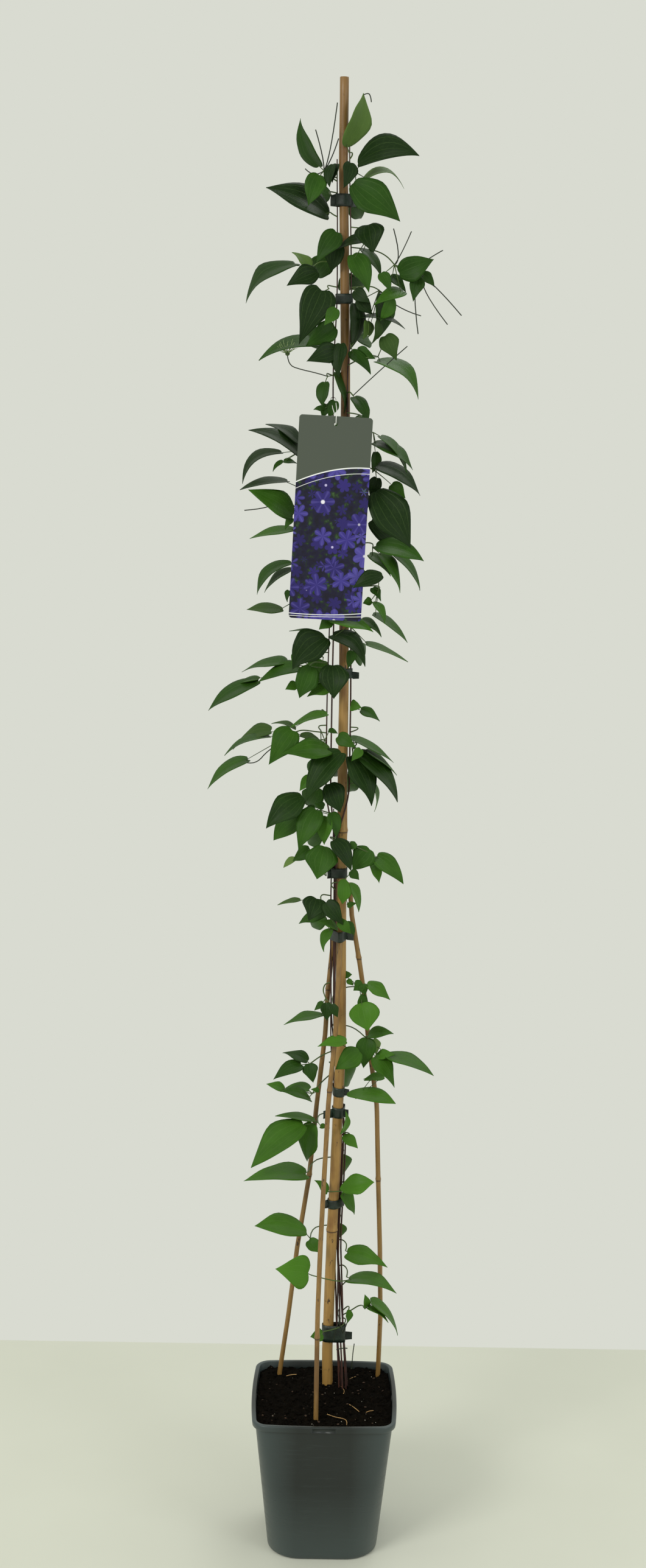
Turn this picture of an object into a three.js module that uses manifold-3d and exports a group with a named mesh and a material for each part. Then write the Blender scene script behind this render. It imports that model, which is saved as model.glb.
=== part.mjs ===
// Potted clematis: a square pot of soil, four canes, five leafy stems, ties and a hanging label.
// Millimetres, +Z up. The origin is the middle of the pot's base, and the front faces -Y.

import * as THREE from "three";
import Module from "manifold-3d";

const wasm = await Module();
wasm.setup();

// Driving dimensions

const POT = {
  height: 204,
  mouth: 182,
  base: 147,
  mouthCorner: 17,
  baseCorner: 44,
  bulge: 2.6,
  wall: 2,
  floor: 3,
  lip: 4,
  lipHeight: 9,
};
const DRAIN = { count: 8, radius: 5, ring: 46 };
const HANDLE_SLOT = { width: 12, height: 3.2, z: 199.5 };
const RIM_TAB = { width: 30, height: 6, depth: 1.2 };
const SOIL_TOP = 197;
const CLEARANCE = 0.35;

const CANE = {
  footRadius: 7.25,
  topRadius: 5.4,
  footZ: 30,
  rings: [423, 974],
  ringSwell: 0.6,
};
const THIN_CANE = { radius: 3.2, footZ: 110, ringSwell: 0.5 };
const STEM = { radius: 1.5, tipRadius: 0.9, footZ: 120 };
const PETIOLE = { radius: 0.85, leafletRadius: 0.55, tipRadius: 0.35 };
const SHORTEST_BLADE = 39;
const STALK_RADIUS = 0.7;
const BLADE = { thickness: 1, fullness: 0.58, fold: 0.16, arch: 0.1 };
const TAPE = { thickness: 0.9, gap: 0.5, sides: 12 };
const LABEL = {
  width: 90,
  height: 250,
  thickness: 1,
  corner: 4,
  holeRadius: 2,
  holeDrop: 10,
  lean: 2.4,
  middle: [-9.8, -20, 1380.6],
};
const LABEL_TIE_RADIUS = 0.55;

// The front is laid out from one eye point. A place is given as (x, z) on the upright plane
// through the main cane, and as how far it lies in front of that plane, along the line of sight.
const EYE = new THREE.Vector3(-14, -2729, 1608);
const PLANE_Y = 35;

function seen(x, z, forward = 0) {
  const onPlane = new THREE.Vector3(x, PLANE_Y, z);
  const share = forward / (PLANE_Y - EYE.y);
  return onPlane.lerp(EYE, share);
}

// Routes of the canes: [x, z, forward], from the soil up

const MAIN_CANE = [
  [4.5, 200, -3], [3.5, 250, -3], [5.6, 350, -3], [7.2, 423, -3], [9.9, 500, -3], [12.6, 600, -3],
  [15, 690, -3], [13, 800, -3], [12, 900, -3], [12, 974, -3], [10.8, 1050, -3], [10.9, 1150, -3],
  [9.5, 1250, -3], [6.5, 1540, -3], [2.6, 1700, -3], [-0.6, 1800, -3], [-1, 1908, -3],
];
const LEFT_CANE = [
  [-60, 125, -30], [-61.5, 190, -35], [-61, 215, -35], [-50, 300, -33], [-39, 400, -29],
  [-24.5, 500, -25], [-16, 600, -21], [-6, 700, -17], [-3.5, 757, -15], [1.5, 815, -13.5],
  [4, 850, -12.5],
];
const FRONT_CANE = [
  [-10.8, 60, 94], [-10.6, 130, 97], [-10.6, 200, 90], [-10.4, 300, 78], [-8, 400, 66],
  [-4.4, 500, 53], [-0.5, 600, 40], [2, 634, 35], [7, 690, 27], [9.5, 760, 18], [11.5, 830, 9.6],
];
const RIGHT_CANE = [
  [68, 125, -30], [72.6, 190, -35], [73, 215, -35], [74.7, 300, -34], [72, 400, -31],
  [67.7, 500, -27], [64, 600, -23], [50, 700, -19], [45, 750, -17], [37, 800, -15],
  [26, 862, -12.5], [22.8, 905, -11.5],
];
const THIN_CANES = {
  cane_left: { route: LEFT_CANE, rings: [492, 757] },
  cane_front: { route: FRONT_CANE, rings: [307, 634] },
  cane_right: { route: RIGHT_CANE, rings: [293, 486, 800] },
};

// Routes of the stems about the main cane: [z, degrees round it from the front towards the right,
// distance from its centre line]
const STEMS = {
  stem_right: [
    [120, 62, 22], [190, 62, 22], [275, 100, 11.8], [400, 160, 9.6], [545, 160, 9.6],
    [715, 292, 9.6], [800, 306, 9.4], [965, 308, 9.2], [1040, 452, 9], [1180, 450, 8.8],
    [1400, 440, 8.6], [1500, 375, 8.4], [1560, 378, 8.4], [1600, 410, 8.4], [1680, 445, 8.2],
    [1760, 440, 8], [1832, 425, 8],
  ],
  stem_left_top: [
    [120, 45, 29], [190, 45, 29], [275, 75, 16.8], [400, 130, 9.6], [545, 130, 9.6], [715, 262, 9.6],
    [800, 278, 9.4], [970, 276, 9.6], [1010, 280, 15.4], [1150, 280, 15.4], [1260, 278, 13],
    [1480, 280, 15.6], [1560, 280, 15.6], [1640, 284, 10], [1760, 286, 8.2], [1812, 286, 8],
  ],
  stem_left_mid: [
    [120, 48, 22], [190, 48, 22], [275, 70, 12.4], [400, 100, 9.6], [545, 100, 9.6], [715, 232, 9.6],
    [800, 248, 9.4], [965, 246, 9.6], [1010, 268, 21], [1150, 270, 21.4], [1260, 262, 18],
    [1330, 262, 18],
  ],
  stem_middle: [
    [120, 58, 30], [190, 58, 30], [275, 82, 20.4], [400, 117, 13.8], [545, 117, 13.8], [715, 247, 13.8],
    [800, 263, 13.6], [890, 262, 13.8], [940, 300, 13.8], [1004, 302, 13.4],
  ],
  stem_low: [
    [120, 70, 29], [190, 70, 29], [275, 102, 21], [400, 145, 13.8], [545, 145, 13.8], [715, 277, 13.8],
    [800, 291, 13.4],
  ],
};

// Leaves. A leaf's petiole leaves its stem at height `from` and ends at `hub`, [x, z, forward].
// A blade is [base x, base z, tip x, tip z, width as seen, forward, how much nearer its tip is,
// arch, bend]. Arch lifts its middle off its chord, bend moves it sideways, both as a share of
// its length. A stalk is a bare cut petiole, a list of [x, z, forward].
const LEAVES = {
  stem_right: [
    { from: 1812, hub: [6, 1820, 10], blades: [[0, 1827, 24, 1889, 26, 12, -6, 0.12]] },
    {
      from: 1796,
      hub: [14, 1797, 16],
      blades: [
        [17, 1807, 91, 1819, 30, 14, 12, 0.1, 0.12],
        [12, 1784, 70, 1740, 41, 26, 20],
        [24, 1787, 74, 1780, 6, 2, -8, 0.3],
        [8, 1808, 0, 1778, 18, 22, 10],
      ],
    },
    {
      from: 1732,
      hub: [31, 1720, 14],
      blades: [
        [31, 1735, 38, 1702, 36, 20, 16],
        [27, 1718, -8, 1704, 12, 18, 2],
        [12, 1699, 34, 1655, 26, 22, 10],
        [22, 1706, 48, 1674, 11, 8, 6],
      ],
    },
    {
      from: 1708,
      hub: [64, 1688, 16],
      blades: [
        [48, 1678, 60, 1656, 14, 20, 6],
        [70, 1678, 112, 1695, 30, 20, 10],
        [59, 1674, 79, 1655, 12, 8, 4],
        [93, 1674, 88, 1644, 18, 20, 6],
        [98, 1678, 114, 1662, 12, 12, 0],
        [76, 1656, 40, 1640, 16, 12, 14],
      ],
      stalks: [
        [[64, 1688, 16], [72, 1699, 16], [84, 1728, 20]],
        [[64, 1688, 16], [74, 1692, 12], [62, 1731, 6]],
        [[84, 1681, 15.4], [110, 1699, 8], [123, 1706, 6]],
        [[64, 1688, 16], [96, 1677, 15], [104, 1650, 18], [131, 1617, 24]],
        [[90, 1679, 15.2], [88, 1649, 16], [95, 1605, 18]],
        [[96, 1677, 15], [116, 1664, 10], [148, 1628, 12]],
      ],
    },
    {
      from: 1660,
      hub: [46, 1657, 4],
      blades: [
        [48, 1653, 47, 1598, 22, 4, -6],
        [62, 1649, 48, 1620, 16, 16, 4],
        [45, 1622, 39, 1592, 9, 14, 2],
        [32, 1620, 27, 1597, 10, 12, 2],
        [20, 1646, 38, 1628, 18, 8, 4],
        [36, 1618, 34, 1600, 7, 8, 2],
      ],
      stalks: [[[46, 1657, 4], [64, 1636, 0], [98, 1627, -8]]],
    },
    { from: 1657, hub: [16, 1658, 14], blades: [[15, 1656, 35, 1642, 16, 14, 12]] },
    { from: 1634, hub: [15, 1640, 6], blades: [[15, 1641, 12, 1585, 20, 8, 4]] },
    { from: 1618, hub: [20, 1622, 0], blades: [[21, 1622, 79, 1612, 7, 0, 14, 0.12]] },
    { from: 1592, hub: [12, 1589, 16], blades: [[12, 1583, 38, 1556, 16, 18, 8]] },
    {
      from: 1566,
      hub: [46, 1577, 0],
      blades: [
        [20, 1584, 43, 1574, 15, 12, 4],
        [45, 1571, 99, 1528, 17, 2, 12, 0.16, 0.06],
        [54, 1602, 69, 1573, 24, 8, 10],
      ],
    },
    {
      from: 1532,
      hub: [16, 1529, 12],
      blades: [[17, 1527, 36, 1496, 16, 14, 12]],
      stalks: [[[16, 1529, 12], [48, 1560, 16], [82, 1590, 10]]],
    },
    {
      from: 1478,
      hub: [42, 1484, 22],
      blades: [
        [51, 1479, 86, 1436, 11, 24, 12],
        [42, 1471, 93, 1440, 16, 22, 20],
        [45, 1460, 42, 1434, 12, 18, -4],
      ],
    },
    {
      from: 1440,
      hub: [46, 1436, 24],
      blades: [
        [48, 1443, 103, 1408, 20, 30, 14],
        [48, 1428, 40, 1402, 16, 18, -4],
        [66, 1420, 84, 1403, 18, 16, 4],
      ],
    },
    {
      from: 1396,
      hub: [48, 1404, 20],
      blades: [
        [47, 1411, 92, 1341, 46, 32, 18],
        [42, 1375, 84, 1338, 30, 8, -6],
      ],
    },
    {
      from: 1345,
      hub: [44, 1341, 24],
      blades: [
        [48, 1343, 109, 1325, 24, 28, 14],
        [53, 1333, 80, 1284, 14, 20, 2],
        [70, 1333, 106, 1288, 10, 10, -4],
        [40, 1332, 68, 1305, 12, 14, 4],
      ],
    },
    {
      from: 1290,
      hub: [52, 1287, 34],
      blades: [
        [57, 1306, 20, 1290, 18, 66, 2],
        [45, 1290, 56, 1273, 10, 30, 6],
        [44, 1274, 33, 1270, 10, 28, 2],
        [46, 1272, 62, 1246, 9, 34, 8],
        [46, 1256, 91, 1221, 10, 26, 4, 0.06],
      ],
    },
    {
      from: 1240,
      hub: [17, 1241, 18],
      blades: [
        [32, 1249, 58, 1228, 10, 22, 2],
        [-8, 1250, 47, 1234, 20, 34, 12],
        [-8, 1250, -22, 1236, 16, 34, 8],
        [-5, 1229, 38, 1190, 22, 26, 14, 0.1, 0.14],
        [38, 1218, 92, 1196, 8, 8, -4, 0.03],
      ],
    },
    { from: 1206, hub: [19, 1209, 8], blades: [[20, 1209, 15, 1186, 12, 10, 2]] },
    {
      from: 1132,
      hub: [22, 1136, 8],
      blades: [
        [20, 1139, 34, 1136, 14, 12, 8],
        [33, 1133, 58, 1119, 12, 6, -2],
      ],
    },
    {
      from: 1088,
      hub: [24, 1084, 14],
      blades: [
        [20, 1072, 50, 1008, 31, 26, 14],
        [30, 1076, 85, 1015, 23, 16, -4],
        [21, 1096, 77, 1067, 10, 6, 6, 0.03],
        [42, 1079, 82, 1050, 7, 6, -10, 0.03],
        [4, 1098, 28, 1084, 18, 22, 10],
        [34, 1082, 22, 1066, 12, 30, 8],
      ],
    },
    { from: 1036, hub: [48, 1038, 4], blades: [[51, 1036, 53, 1000, 4, 4, -2]] },
    {
      from: 962,
      hub: [6, 964, 26],
      blades: [
        [1, 961, 25, 921, 22, 30, 10],
        [48, 950, 26, 922, 30, 18, -2],
        [50, 932, 61, 905, 12, 8, 8],
        [57, 941, 93, 905, 24, 14, 10],
      ],
    },
    {
      from: 896,
      hub: [12, 906, 22],
      blades: [
        [14, 910, 14, 876, 18, 28, 8],
        [22, 903, 36, 866, 11, 14, -2],
        [24, 921, 35, 909, 12, 16, 2],
      ],
    },
  ],
  stem_left_top: [
    {
      from: 1796,
      hub: [-24, 1798, 6],
      blades: [
        [-30, 1803, -55, 1858, 20, 6, 14],
        [-30, 1793, -43, 1757, 26, 16, 14],
        [-13, 1806, -17, 1779, 12, 18, 8],
      ],
      stalks: [
        [[-24, 1798, 6], [-17, 1811, 8], [-9, 1878, 16]],
        [[-24, 1798, 6], [-24, 1812, 2], [-35, 1846, -4]],
        [[-24, 1798, 6], [-15, 1810, 2], [-7, 1836, -8]],
        [[-24, 1798, 6], [-36, 1789, 0], [-47, 1800, -6]],
      ],
    },
    { from: 1786, hub: [-8, 1790, 14], blades: [[-8, 1806, -14, 1784, 10, 16, 4]] },
    { from: 1744, hub: [-18, 1748, 6], blades: [[-18, 1745, -94, 1778, 30, 8, 22, 0.08]] },
    {
      from: 1722,
      hub: [-11, 1720, 10],
      blades: [
        [-8, 1726, -32, 1689, 26, 16, 12],
        [-7, 1712, -14, 1678, 24, 12, -4],
      ],
    },
    {
      from: 1690,
      hub: [-36, 1684, 4],
      blades: [
        [-40, 1684, -62, 1701, 12, 2, -10],
        [-58, 1687, -118, 1639, 20, 0, 22, 0.1, 0.16],
        [-30, 1678, -68, 1661, 24, 10, 12],
      ],
    },
    { from: 1660, hub: [-16, 1658, 16], blades: [[-25, 1656, -52, 1590, 42, 26, 12]] },
    {
      from: 1622,
      hub: [-8, 1626, 14],
      blades: [
        [-6, 1634, -21, 1614, 16, 38, 8],
        [-8, 1612, -44, 1588, 26, 12, 6],
      ],
    },
    {
      from: 1590,
      hub: [-12, 1590, 12],
      blades: [
        [-22, 1590, -102, 1573, 16, -4, 16, 0.08, 0.06],
        [-6, 1584, -42, 1570, 25, 22, 14],
        [0, 1592, -2, 1551, 20, 24, 8],
      ],
    },
    {
      from: 1553,
      hub: [-16, 1552, 12],
      blades: [
        [-19, 1545, -22, 1514, 16, 16, 10],
      ],
      stalks: [[[-16, 1552, 12], [-30, 1556, 8], [-50, 1560, 4], [-65, 1565, 2], [-66, 1577, 2]]],
      seedHead: [-66, 1579, 2],
    },
    {
      from: 1516,
      hub: [-14, 1515, 14],
      blades: [
        [-19, 1512, -33, 1511, 6, 12, -4],
        [-17, 1518, -22, 1500, 12, 10, 4],
      ],
    },
    {
      from: 1468,
      hub: [-44, 1462, 18],
      blades: [
        [-50, 1470, -92, 1493, 13, 16, -6],
        [-50, 1456, -112, 1487, 18, 26, 18],
        [-72, 1458, -122, 1420, 13, 8, 6, 0.1, 0.34],
        [-70, 1447, -83, 1434, 5, 18, 0],
      ],
    },
    {
      from: 1418,
      hub: [-48, 1414, 16],
      blades: [[-64, 1422, -124, 1413, 9, 16, 20, 0.03]],
    },
    {
      from: 1380,
      hub: [-46, 1378, 18],
      blades: [
        [-57, 1380, -113, 1411, 28, 24, 12],
        [-57, 1376, -67, 1362, 8, 26, 0],
        [-55, 1361, -111, 1350, 10, 6, -8, 0.04],
      ],
      stalks: [[[-46, 1378, 18], [-58, 1398, 6], [-73, 1396, 0], [-95, 1387, -2], [-118, 1385, 0]]],
    },
  ],
  stem_left_mid: [
    {
      from: 1318,
      hub: [-44, 1314, 18],
      blades: [
        [-58, 1320, -102, 1280, 14, 18, 10, 0.08, 0.22],
        [-58, 1311, -92, 1282, 8, 10, -6],
      ],
    },
    {
      from: 1268,
      hub: [-56, 1270, 8],
      blades: [
        [-68, 1260, -114, 1260, 13, 8, 10, 0.02],
        [-61, 1285, -63, 1270, 6, 12, -2],
      ],
    },
    {
      from: 1222,
      hub: [-18, 1226, 12],
      blades: [
        [-14, 1226, -55, 1184, 42, 26, 14, 0.1, 0.1],
        [-28, 1233, -60, 1234, 3, -4, -8, 0.02],
      ],
    },
    {
      from: 1192,
      hub: [-34, 1188, 4],
      blades: [
        [-4, 1190, -2, 1147, 38, 24, 16],
        [-46, 1187, -100, 1166, 18, -2, 10],
        [-64, 1193, -120, 1181, 11, -12, -14, 0.05],
        [-48, 1206, -56, 1190, 8, 4, 2],
        [-98, 1168, -163, 1131, 19, -14, 16, 0.06],
        [-98, 1171, -130, 1159, 5, -18, -10],
      ],
    },
    {
      from: 1160,
      hub: [-38, 1162, -4],
      blades: [
        [-50, 1165, -64, 1158, 12, -6, 4],
        [-31, 1188, -46, 1147, 30, 22, 8],
      ],
    },
    {
      from: 1128,
      hub: [-16, 1130, 10],
      blades: [
        [-10, 1127, -57, 1110, 10, 26, 6, 0.05],
        [-50, 1107, -81, 1115, 6, -6, 0],
      ],
    },
    {
      from: 1102,
      hub: [-52, 1102, 4],
      blades: [
        [-82, 1104, -131, 1080, 15, -8, -12],
        [-83, 1096, -142, 1073, 9, 0, 16],
        [-54, 1105, -84, 1060, 34, 14, 16],
        [-111, 1066, -163, 1027, 15, -14, 12],
      ],
      stalks: [[[-52, 1102, 4], [-85, 1080, -14], [-100, 1060, -18], [-112, 1062, -16]]],
    },
    {
      from: 1092,
      hub: [-16, 1086, 16],
      blades: [
        [-6, 1080, -68, 1075, 25, 24, 18, 0.07],
        [9, 1077, -36, 1014, 34, 32, 14],
      ],
    },
    { from: 1064, hub: [-28, 1050, 4], blades: [[-31, 1046, -44, 1026, 14, 6, 6]] },
    { from: 1036, hub: [-6, 1033, 22], blades: [[-6, 1036, 9, 998, 29, 26, 10]] },
    {
      from: 732,
      hub: [38, 764, 0],
      blades: [
        [17, 780, 28, 781, 9, -2, 0],
        [42, 769, 30, 759, 16, 6, 4],
        [48, 769, 79, 747, 16, 4, 8, 0.06],
        [43, 754, 38, 730, 12, 8, 0],
        [41, 742, 50, 704, 40, 14, 16],
      ],
    },
    {
      from: 706,
      hub: [46, 696, 0],
      blades: [
        [51, 698, 84, 701, 15, 0, 12],
        [50, 693, 45, 652, 26, 4, 4],
        [58, 693, 62, 671, 10, 2, -2],
        [75, 671, 139, 646, 18, 2, 26, 0.04], [62, 668, 87, 672, 12, 6, 2],
        [59, 668, 87, 626, 22, 10, 12],
      ],
    },
  ],
  stem_middle: [
    {
      from: 998,
      hub: [-24, 1000, 10],
      blades: [
        [-40, 1018, -87, 976, 33, 18, 16],
        [-40, 995, -77, 960, 28, 2, -14],
        [-22, 1001, -45, 948, 32, 22, 16],
        [-12, 1006, -24, 1010, 10, 20, 6],
        [-9, 993, -12, 955, 20, 22, 4],
      ],
    },
    {
      from: 944,
      hub: [-14, 952, 14],
      blades: [
        [-11, 953, -20, 909, 40, 26, 16],
        [-30, 950, -52, 933, 18, 4, 2],
        [-48, 936, -64, 924, 8, 0, -4],
      ],
    },
    {
      from: 886,
      hub: [-14, 880, 12],
      blades: [
        [-41, 881, -71, 874, 6, 4, 6, 0.02],
        [-20, 883, -30, 853, 33, 22, 14],
        [-8, 862, -43, 849, 15, 12, -8],
        [-8, 878, 15, 848, 22, 30, 8], [10, 853, 26, 836, 14, 34, 2],
      ],
    },
    {
      from: 768,
      hub: [-6, 748, 14],
      blades: [
        [-5, 742, -4, 717, 15, 16, 6],
        [2, 740, 10, 722, 12, 32, 4],
      ],
    },
    {
      from: 728,
      hub: [-9, 727, 8],
      blades: [[-10, 725, -61, 711, 11, 6, 14, 0.04]],
    },
  ],
  stem_low: [
    {
      from: 690,
      hub: [14, 686, 16],
      blades: [
        [40, 675, 8, 650, 28, 22, 8],
        [22, 689, -16, 682, 14, 36, 2, 0.05],
      ],
    },
    {
      from: 672,
      hugs: true,
      hub: [-26, 657, 4],
      blades: [
        [-29, 661, -62, 672, 14, 2, -10],
        [-37, 656, -74, 635, 19, 8, 14],
        [-27, 657, -21, 631, 19, 10, 8],
      ],
    },
    {
      from: 642,
      hugs: true,
      hub: [-22, 616, 2],
      blades: [
        [-60, 621, -83, 629, 11, 0, -6],
        [-26, 622, -64, 619, 12, -2, -12],
        [-24, 607, -64, 619, 13, 12, 14],
      ],
    },
    {
      from: 604,
      hub: [36, 610, 4],
      blades: [
        [24, 616, 89, 606, 19, 8, 18, 0.05],
        [73, 641, 45, 637, 11, 0, -4, 0.04],
        [57, 638, 46, 635, 5, 2, 2],
      ],
    },
    {
      from: 572,
      hub: [-14, 576, 14],
      blades: [
        [-18, 578, -71, 584, 10, 10, 8, 0.03],
        [-34, 573, -103, 511, 37, 26, 20, 0.08],
        [-21, 574, -28, 520, 28, 12, -12],
      ],
    },
    {
      from: 552,
      hub: [30, 555, 2],
      blades: [
        [18, 561, 24, 592, 8, 10, 2],
        [20, 557, 40, 540, 14, 8, 8],
      ],
    },
    { from: 510, hub: [-26, 506, 14], blades: [[-29, 502, -112, 492, 25, 18, 20, 0.05]] },
    {
      from: 484,
      hub: [28, 482, 2],
      blades: [
        [17, 482, 62, 493, 27, 8, 14],
        [19, 475, 38, 446, 15, 2, -6],
      ],
    },
    { from: 474, hub: [0, 478, 14], blades: [[0, 477, -17, 494, 12, 16, 4]] },
    {
      from: 412,
      hub: [-22, 411, 14],
      blades: [
        [-27, 420, -96, 430, 28, 18, 14, 0.06],
        [-24, 408, -8, 390, 18, 20, 6],
      ],
    },
    { from: 402, hub: [26, 394, 8], blades: [[28, 390, 83, 371, 26, 10, 16]] },
    { from: 366, hub: [28, 356, 8], blades: [[31, 352, 96, 336, 19, 8, 22]] },
    { from: 336, hub: [-20, 358, 16], blades: [[-24, 361, -68, 366, 44, 22, 16]] },
    {
      from: 296,
      hub: [52, 312, 14],
      blades: [
        [55, 311, 53, 331, 9, 14, 2],
        [58, 312, 86, 291, 8, 16, 8],
        [62, 320, 100, 273, 10, 10, -6],
      ],
    },
    { from: 302, hub: [31, 308, 10], blades: [[31, 308, 30, 288, 8, 12, 2]] },
  ],
};

// Leaves on the far side of the canes, in the same form
const BACK_LEAVES = {
  stem_right: [
    {
      from: 1778,
      hub: [10, 1770, -26],
      blades: [
        [8, 1768, 22, 1742, 26, -28, -42],
        [14, 1770, 44, 1762, 18, -26, -34],
      ],
    },
    {
      from: 1680,
      hub: [14, 1676, -28],
      blades: [
        [14, 1674, 30, 1664, 28, -30, -40],
        [6, 1676, 4, 1654, 22, -30, -34],
      ],
    },
    { from: 1606, hub: [16, 1602, -26], blades: [[18, 1600, 36, 1596, 22, -28, -44]] },
    {
      from: 1508,
      hub: [14, 1500, -26],
      blades: [
        [12, 1498, 2, 1470, 30, -28, -30],
        [18, 1500, 34, 1478, 26, -28, -40],
      ],
    },
    { from: 1420, hub: [20, 1412, -28], blades: [[20, 1410, 34, 1384, 30, -30, -34]] },
    {
      from: 1320,
      hub: [18, 1312, -28],
      blades: [
        [18, 1310, 30, 1290, 30, -30, -44],
        [10, 1312, -6, 1288, 28, -30, -30],
      ],
    },
    { from: 1216, hub: [20, 1214, -24], blades: [[22, 1212, 36, 1200, 26, -26, -44]] },
    { from: 1110, hub: [20, 1104, -26], blades: [[24, 1062, 36, 1034, 28, -30, -36]] },
    { from: 1058, hub: [18, 1052, -26], blades: [[16, 1048, 24, 1026, 30, -28, -36]] },
  ],
  stem_left_top: [
    { from: 1772, hub: [-12, 1768, -20], blades: [[-16, 1768, -40, 1762, 24, -22, -40]] },
    { from: 1712, hub: [-14, 1700, -22], blades: [[-16, 1696, -34, 1672, 28, -24, -36]] },
    { from: 1612, hub: [-16, 1606, -22], blades: [[-20, 1604, -40, 1590, 28, -24, -40]] },
    {
      from: 1440,
      hub: [-18, 1432, -24],
      blades: [
        [-22, 1430, -46, 1404, 32, -26, -36],
        [-12, 1434, -4, 1400, 26, -28, -30],
      ],
    },
    { from: 1352, hub: [-16, 1346, -24], blades: [[-20, 1342, -40, 1322, 32, -26, -40]] },
  ],
  stem_left_mid: [
    { from: 1290, hub: [-14, 1286, -24], blades: [[-18, 1284, -40, 1262, 30, -28, -40]] },
    { from: 1206, hub: [-16, 1200, -26], blades: [[-16, 1196, -30, 1166, 34, -30, -34]] },
    {
      from: 1112,
      hub: [-18, 1106, -24],
      blades: [
        [-14, 1068, -28, 1042, 28, -30, -34],
        [-4, 1072, 4, 1046, 24, -32, -34],
      ],
    },
    { from: 1040, hub: [-16, 1034, -24], blades: [[-20, 1030, -34, 1006, 30, -28, -34]] },
  ],
  stem_middle: [
    { from: 978, hub: [-10, 972, -24], blades: [[-14, 970, -34, 962, 30, -28, -44]] },
    { from: 932, hub: [-8, 914, -24], blades: [[-8, 946, -24, 924, 28, -30, -34]] },
    { from: 868, hub: [-8, 862, -28], blades: [[-8, 860, -26, 846, 26, -32, -36]] },
  ],
  stem_low: [
    { from: 656, hub: [16, 652, -28], blades: [[18, 650, 28, 632, 26, -30, -40]] },
    { from: 532, hub: [16, 528, -26], blades: [[14, 526, 20, 500, 24, -28, -34]] },
    { from: 440, hub: [14, 434, -26], blades: [[10, 430, 6, 404, 22, -28, -34]] },
  ],
};

// Ties of tape: lowest and highest z, what they go round besides the main cane, and loose ends
// as [degrees round from the front, length, height share]
const ALL_STEMS = Object.keys(STEMS);
const UPPER_STEMS = ["stem_right", "stem_left_top"];
const TAPES = {
  tape_1: { z: [262, 286], holds: ALL_STEMS, ends: [[100, 9, 0.5]] },
  tape_2: { z: [455, 467], holds: ALL_STEMS, ends: [[290, 7, 1]] },
  tape_3: { z: [583, 597], holds: ALL_STEMS, ends: [[300, 16, 0.9], [75, 6, 0.8]] },
  tape_4: { z: [613, 625], holds: ALL_STEMS, ends: [[95, 6, 0.8]] },
  tape_5: {
    z: [828, 842],
    holds: ["cane_left", "cane_front", ...ALL_STEMS.slice(0, 4)],
    ends: [[80, 16, 0.8]],
  },
  tape_6: { z: [912, 925], holds: ALL_STEMS.slice(0, 4), ends: [[330, 7, 0.9]] },
  tape_7: { z: [1173, 1186], holds: ["stem_right"], ends: [[75, 9, 0.7]] },
  tape_8: { z: [1640, 1652], holds: UPPER_STEMS, ends: [[200, 6, 0.8]] },
  tape_9: { z: [1756, 1771], holds: UPPER_STEMS, ends: [[250, 6, 1], [80, 7, 0.8]] },
};

// Materials

function finish(color, roughness) {
  return new THREE.MeshStandardMaterial({ color, roughness, metalness: 0 });
}
const MATERIALS = {
  pot: finish(0x3a423f, 0.45),
  soil: finish(0x1b1510, 0.95),
  cane: finish(0xa88452, 0.6),
  thinCane: finish(0x9a7a48, 0.6),
  leaf: finish(0x3b6423, 0.55),
  tape: finish(0x3c5544, 0.5),
  label: finish(0x5b5a86, 0.4),
  labelTie: finish(0xe6e6e2, 0.5),
};

// Solids from points and triangles

function solid(points, triangles) {
  const vertProperties = new Float32Array(points.flatMap((point) => point.toArray()));
  const triVerts = new Uint32Array(triangles.flat());
  const whole = new wasm.Manifold(new wasm.Mesh({ numProp: 3, vertProperties, triVerts }));
  if (whole.volume() > 0) return whole;
  const turned = triangles.map(([a, b, c]) => [a, c, b]);
  return solid(points, turned);
}

function joined(solids) {
  return solids.reduce((whole, piece) => whole.add(piece));
}

function solidFromGeometry(geometry, matrix) {
  const plain = geometry.index ? geometry.toNonIndexed() : geometry;
  plain.applyMatrix4(matrix);
  const position = plain.getAttribute("position");
  const places = new Map();
  const points = [];
  const corners = [];
  for (let i = 0; i < position.count; i++) {
    const point = new THREE.Vector3().fromBufferAttribute(position, i);
    const key = point.toArray().map((value) => Math.round(value * 1e4)).join();
    if (!places.has(key)) {
      places.set(key, points.length);
      points.push(point);
    }
    corners.push(places.get(key));
  }
  const triangles = [];
  for (let i = 0; i < corners.length; i += 3) {
    const [a, b, c] = corners.slice(i, i + 3);
    if (a !== b && b !== c && a !== c) triangles.push([a, b, c]);
  }
  return solid(points, triangles);
}

function meshOf(name, whole, material) {
  const { vertProperties, triVerts } = whole.getMesh();
  const geometry = new THREE.BufferGeometry();
  geometry.setAttribute("position", new THREE.BufferAttribute(vertProperties, 3));
  geometry.setIndex(new THREE.BufferAttribute(triVerts, 1));
  geometry.computeVertexNormals();
  const mesh = new THREE.Mesh(geometry, material);
  mesh.name = name;
  return mesh;
}

// Closed skins: rings of points joined side by side, with flat ends

function skin(rings, closed = false) {
  const sides = rings[0].length;
  const triangles = [];
  const last = closed ? rings.length : rings.length - 1;
  for (let row = 0; row < last; row++) {
    const here = row * sides;
    const next = ((row + 1) % rings.length) * sides;
    for (let i = 0; i < sides; i++) {
      const j = (i + 1) % sides;
      triangles.push([here + i, here + j, next + j], [here + i, next + j, next + i]);
    }
  }
  if (!closed) {
    const top = last * sides;
    for (let i = 1; i < sides - 1; i++) {
      triangles.push([0, i + 1, i], [top, top + i, top + i + 1]);
    }
  }
  return solid(rings.flat(), triangles);
}

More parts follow.
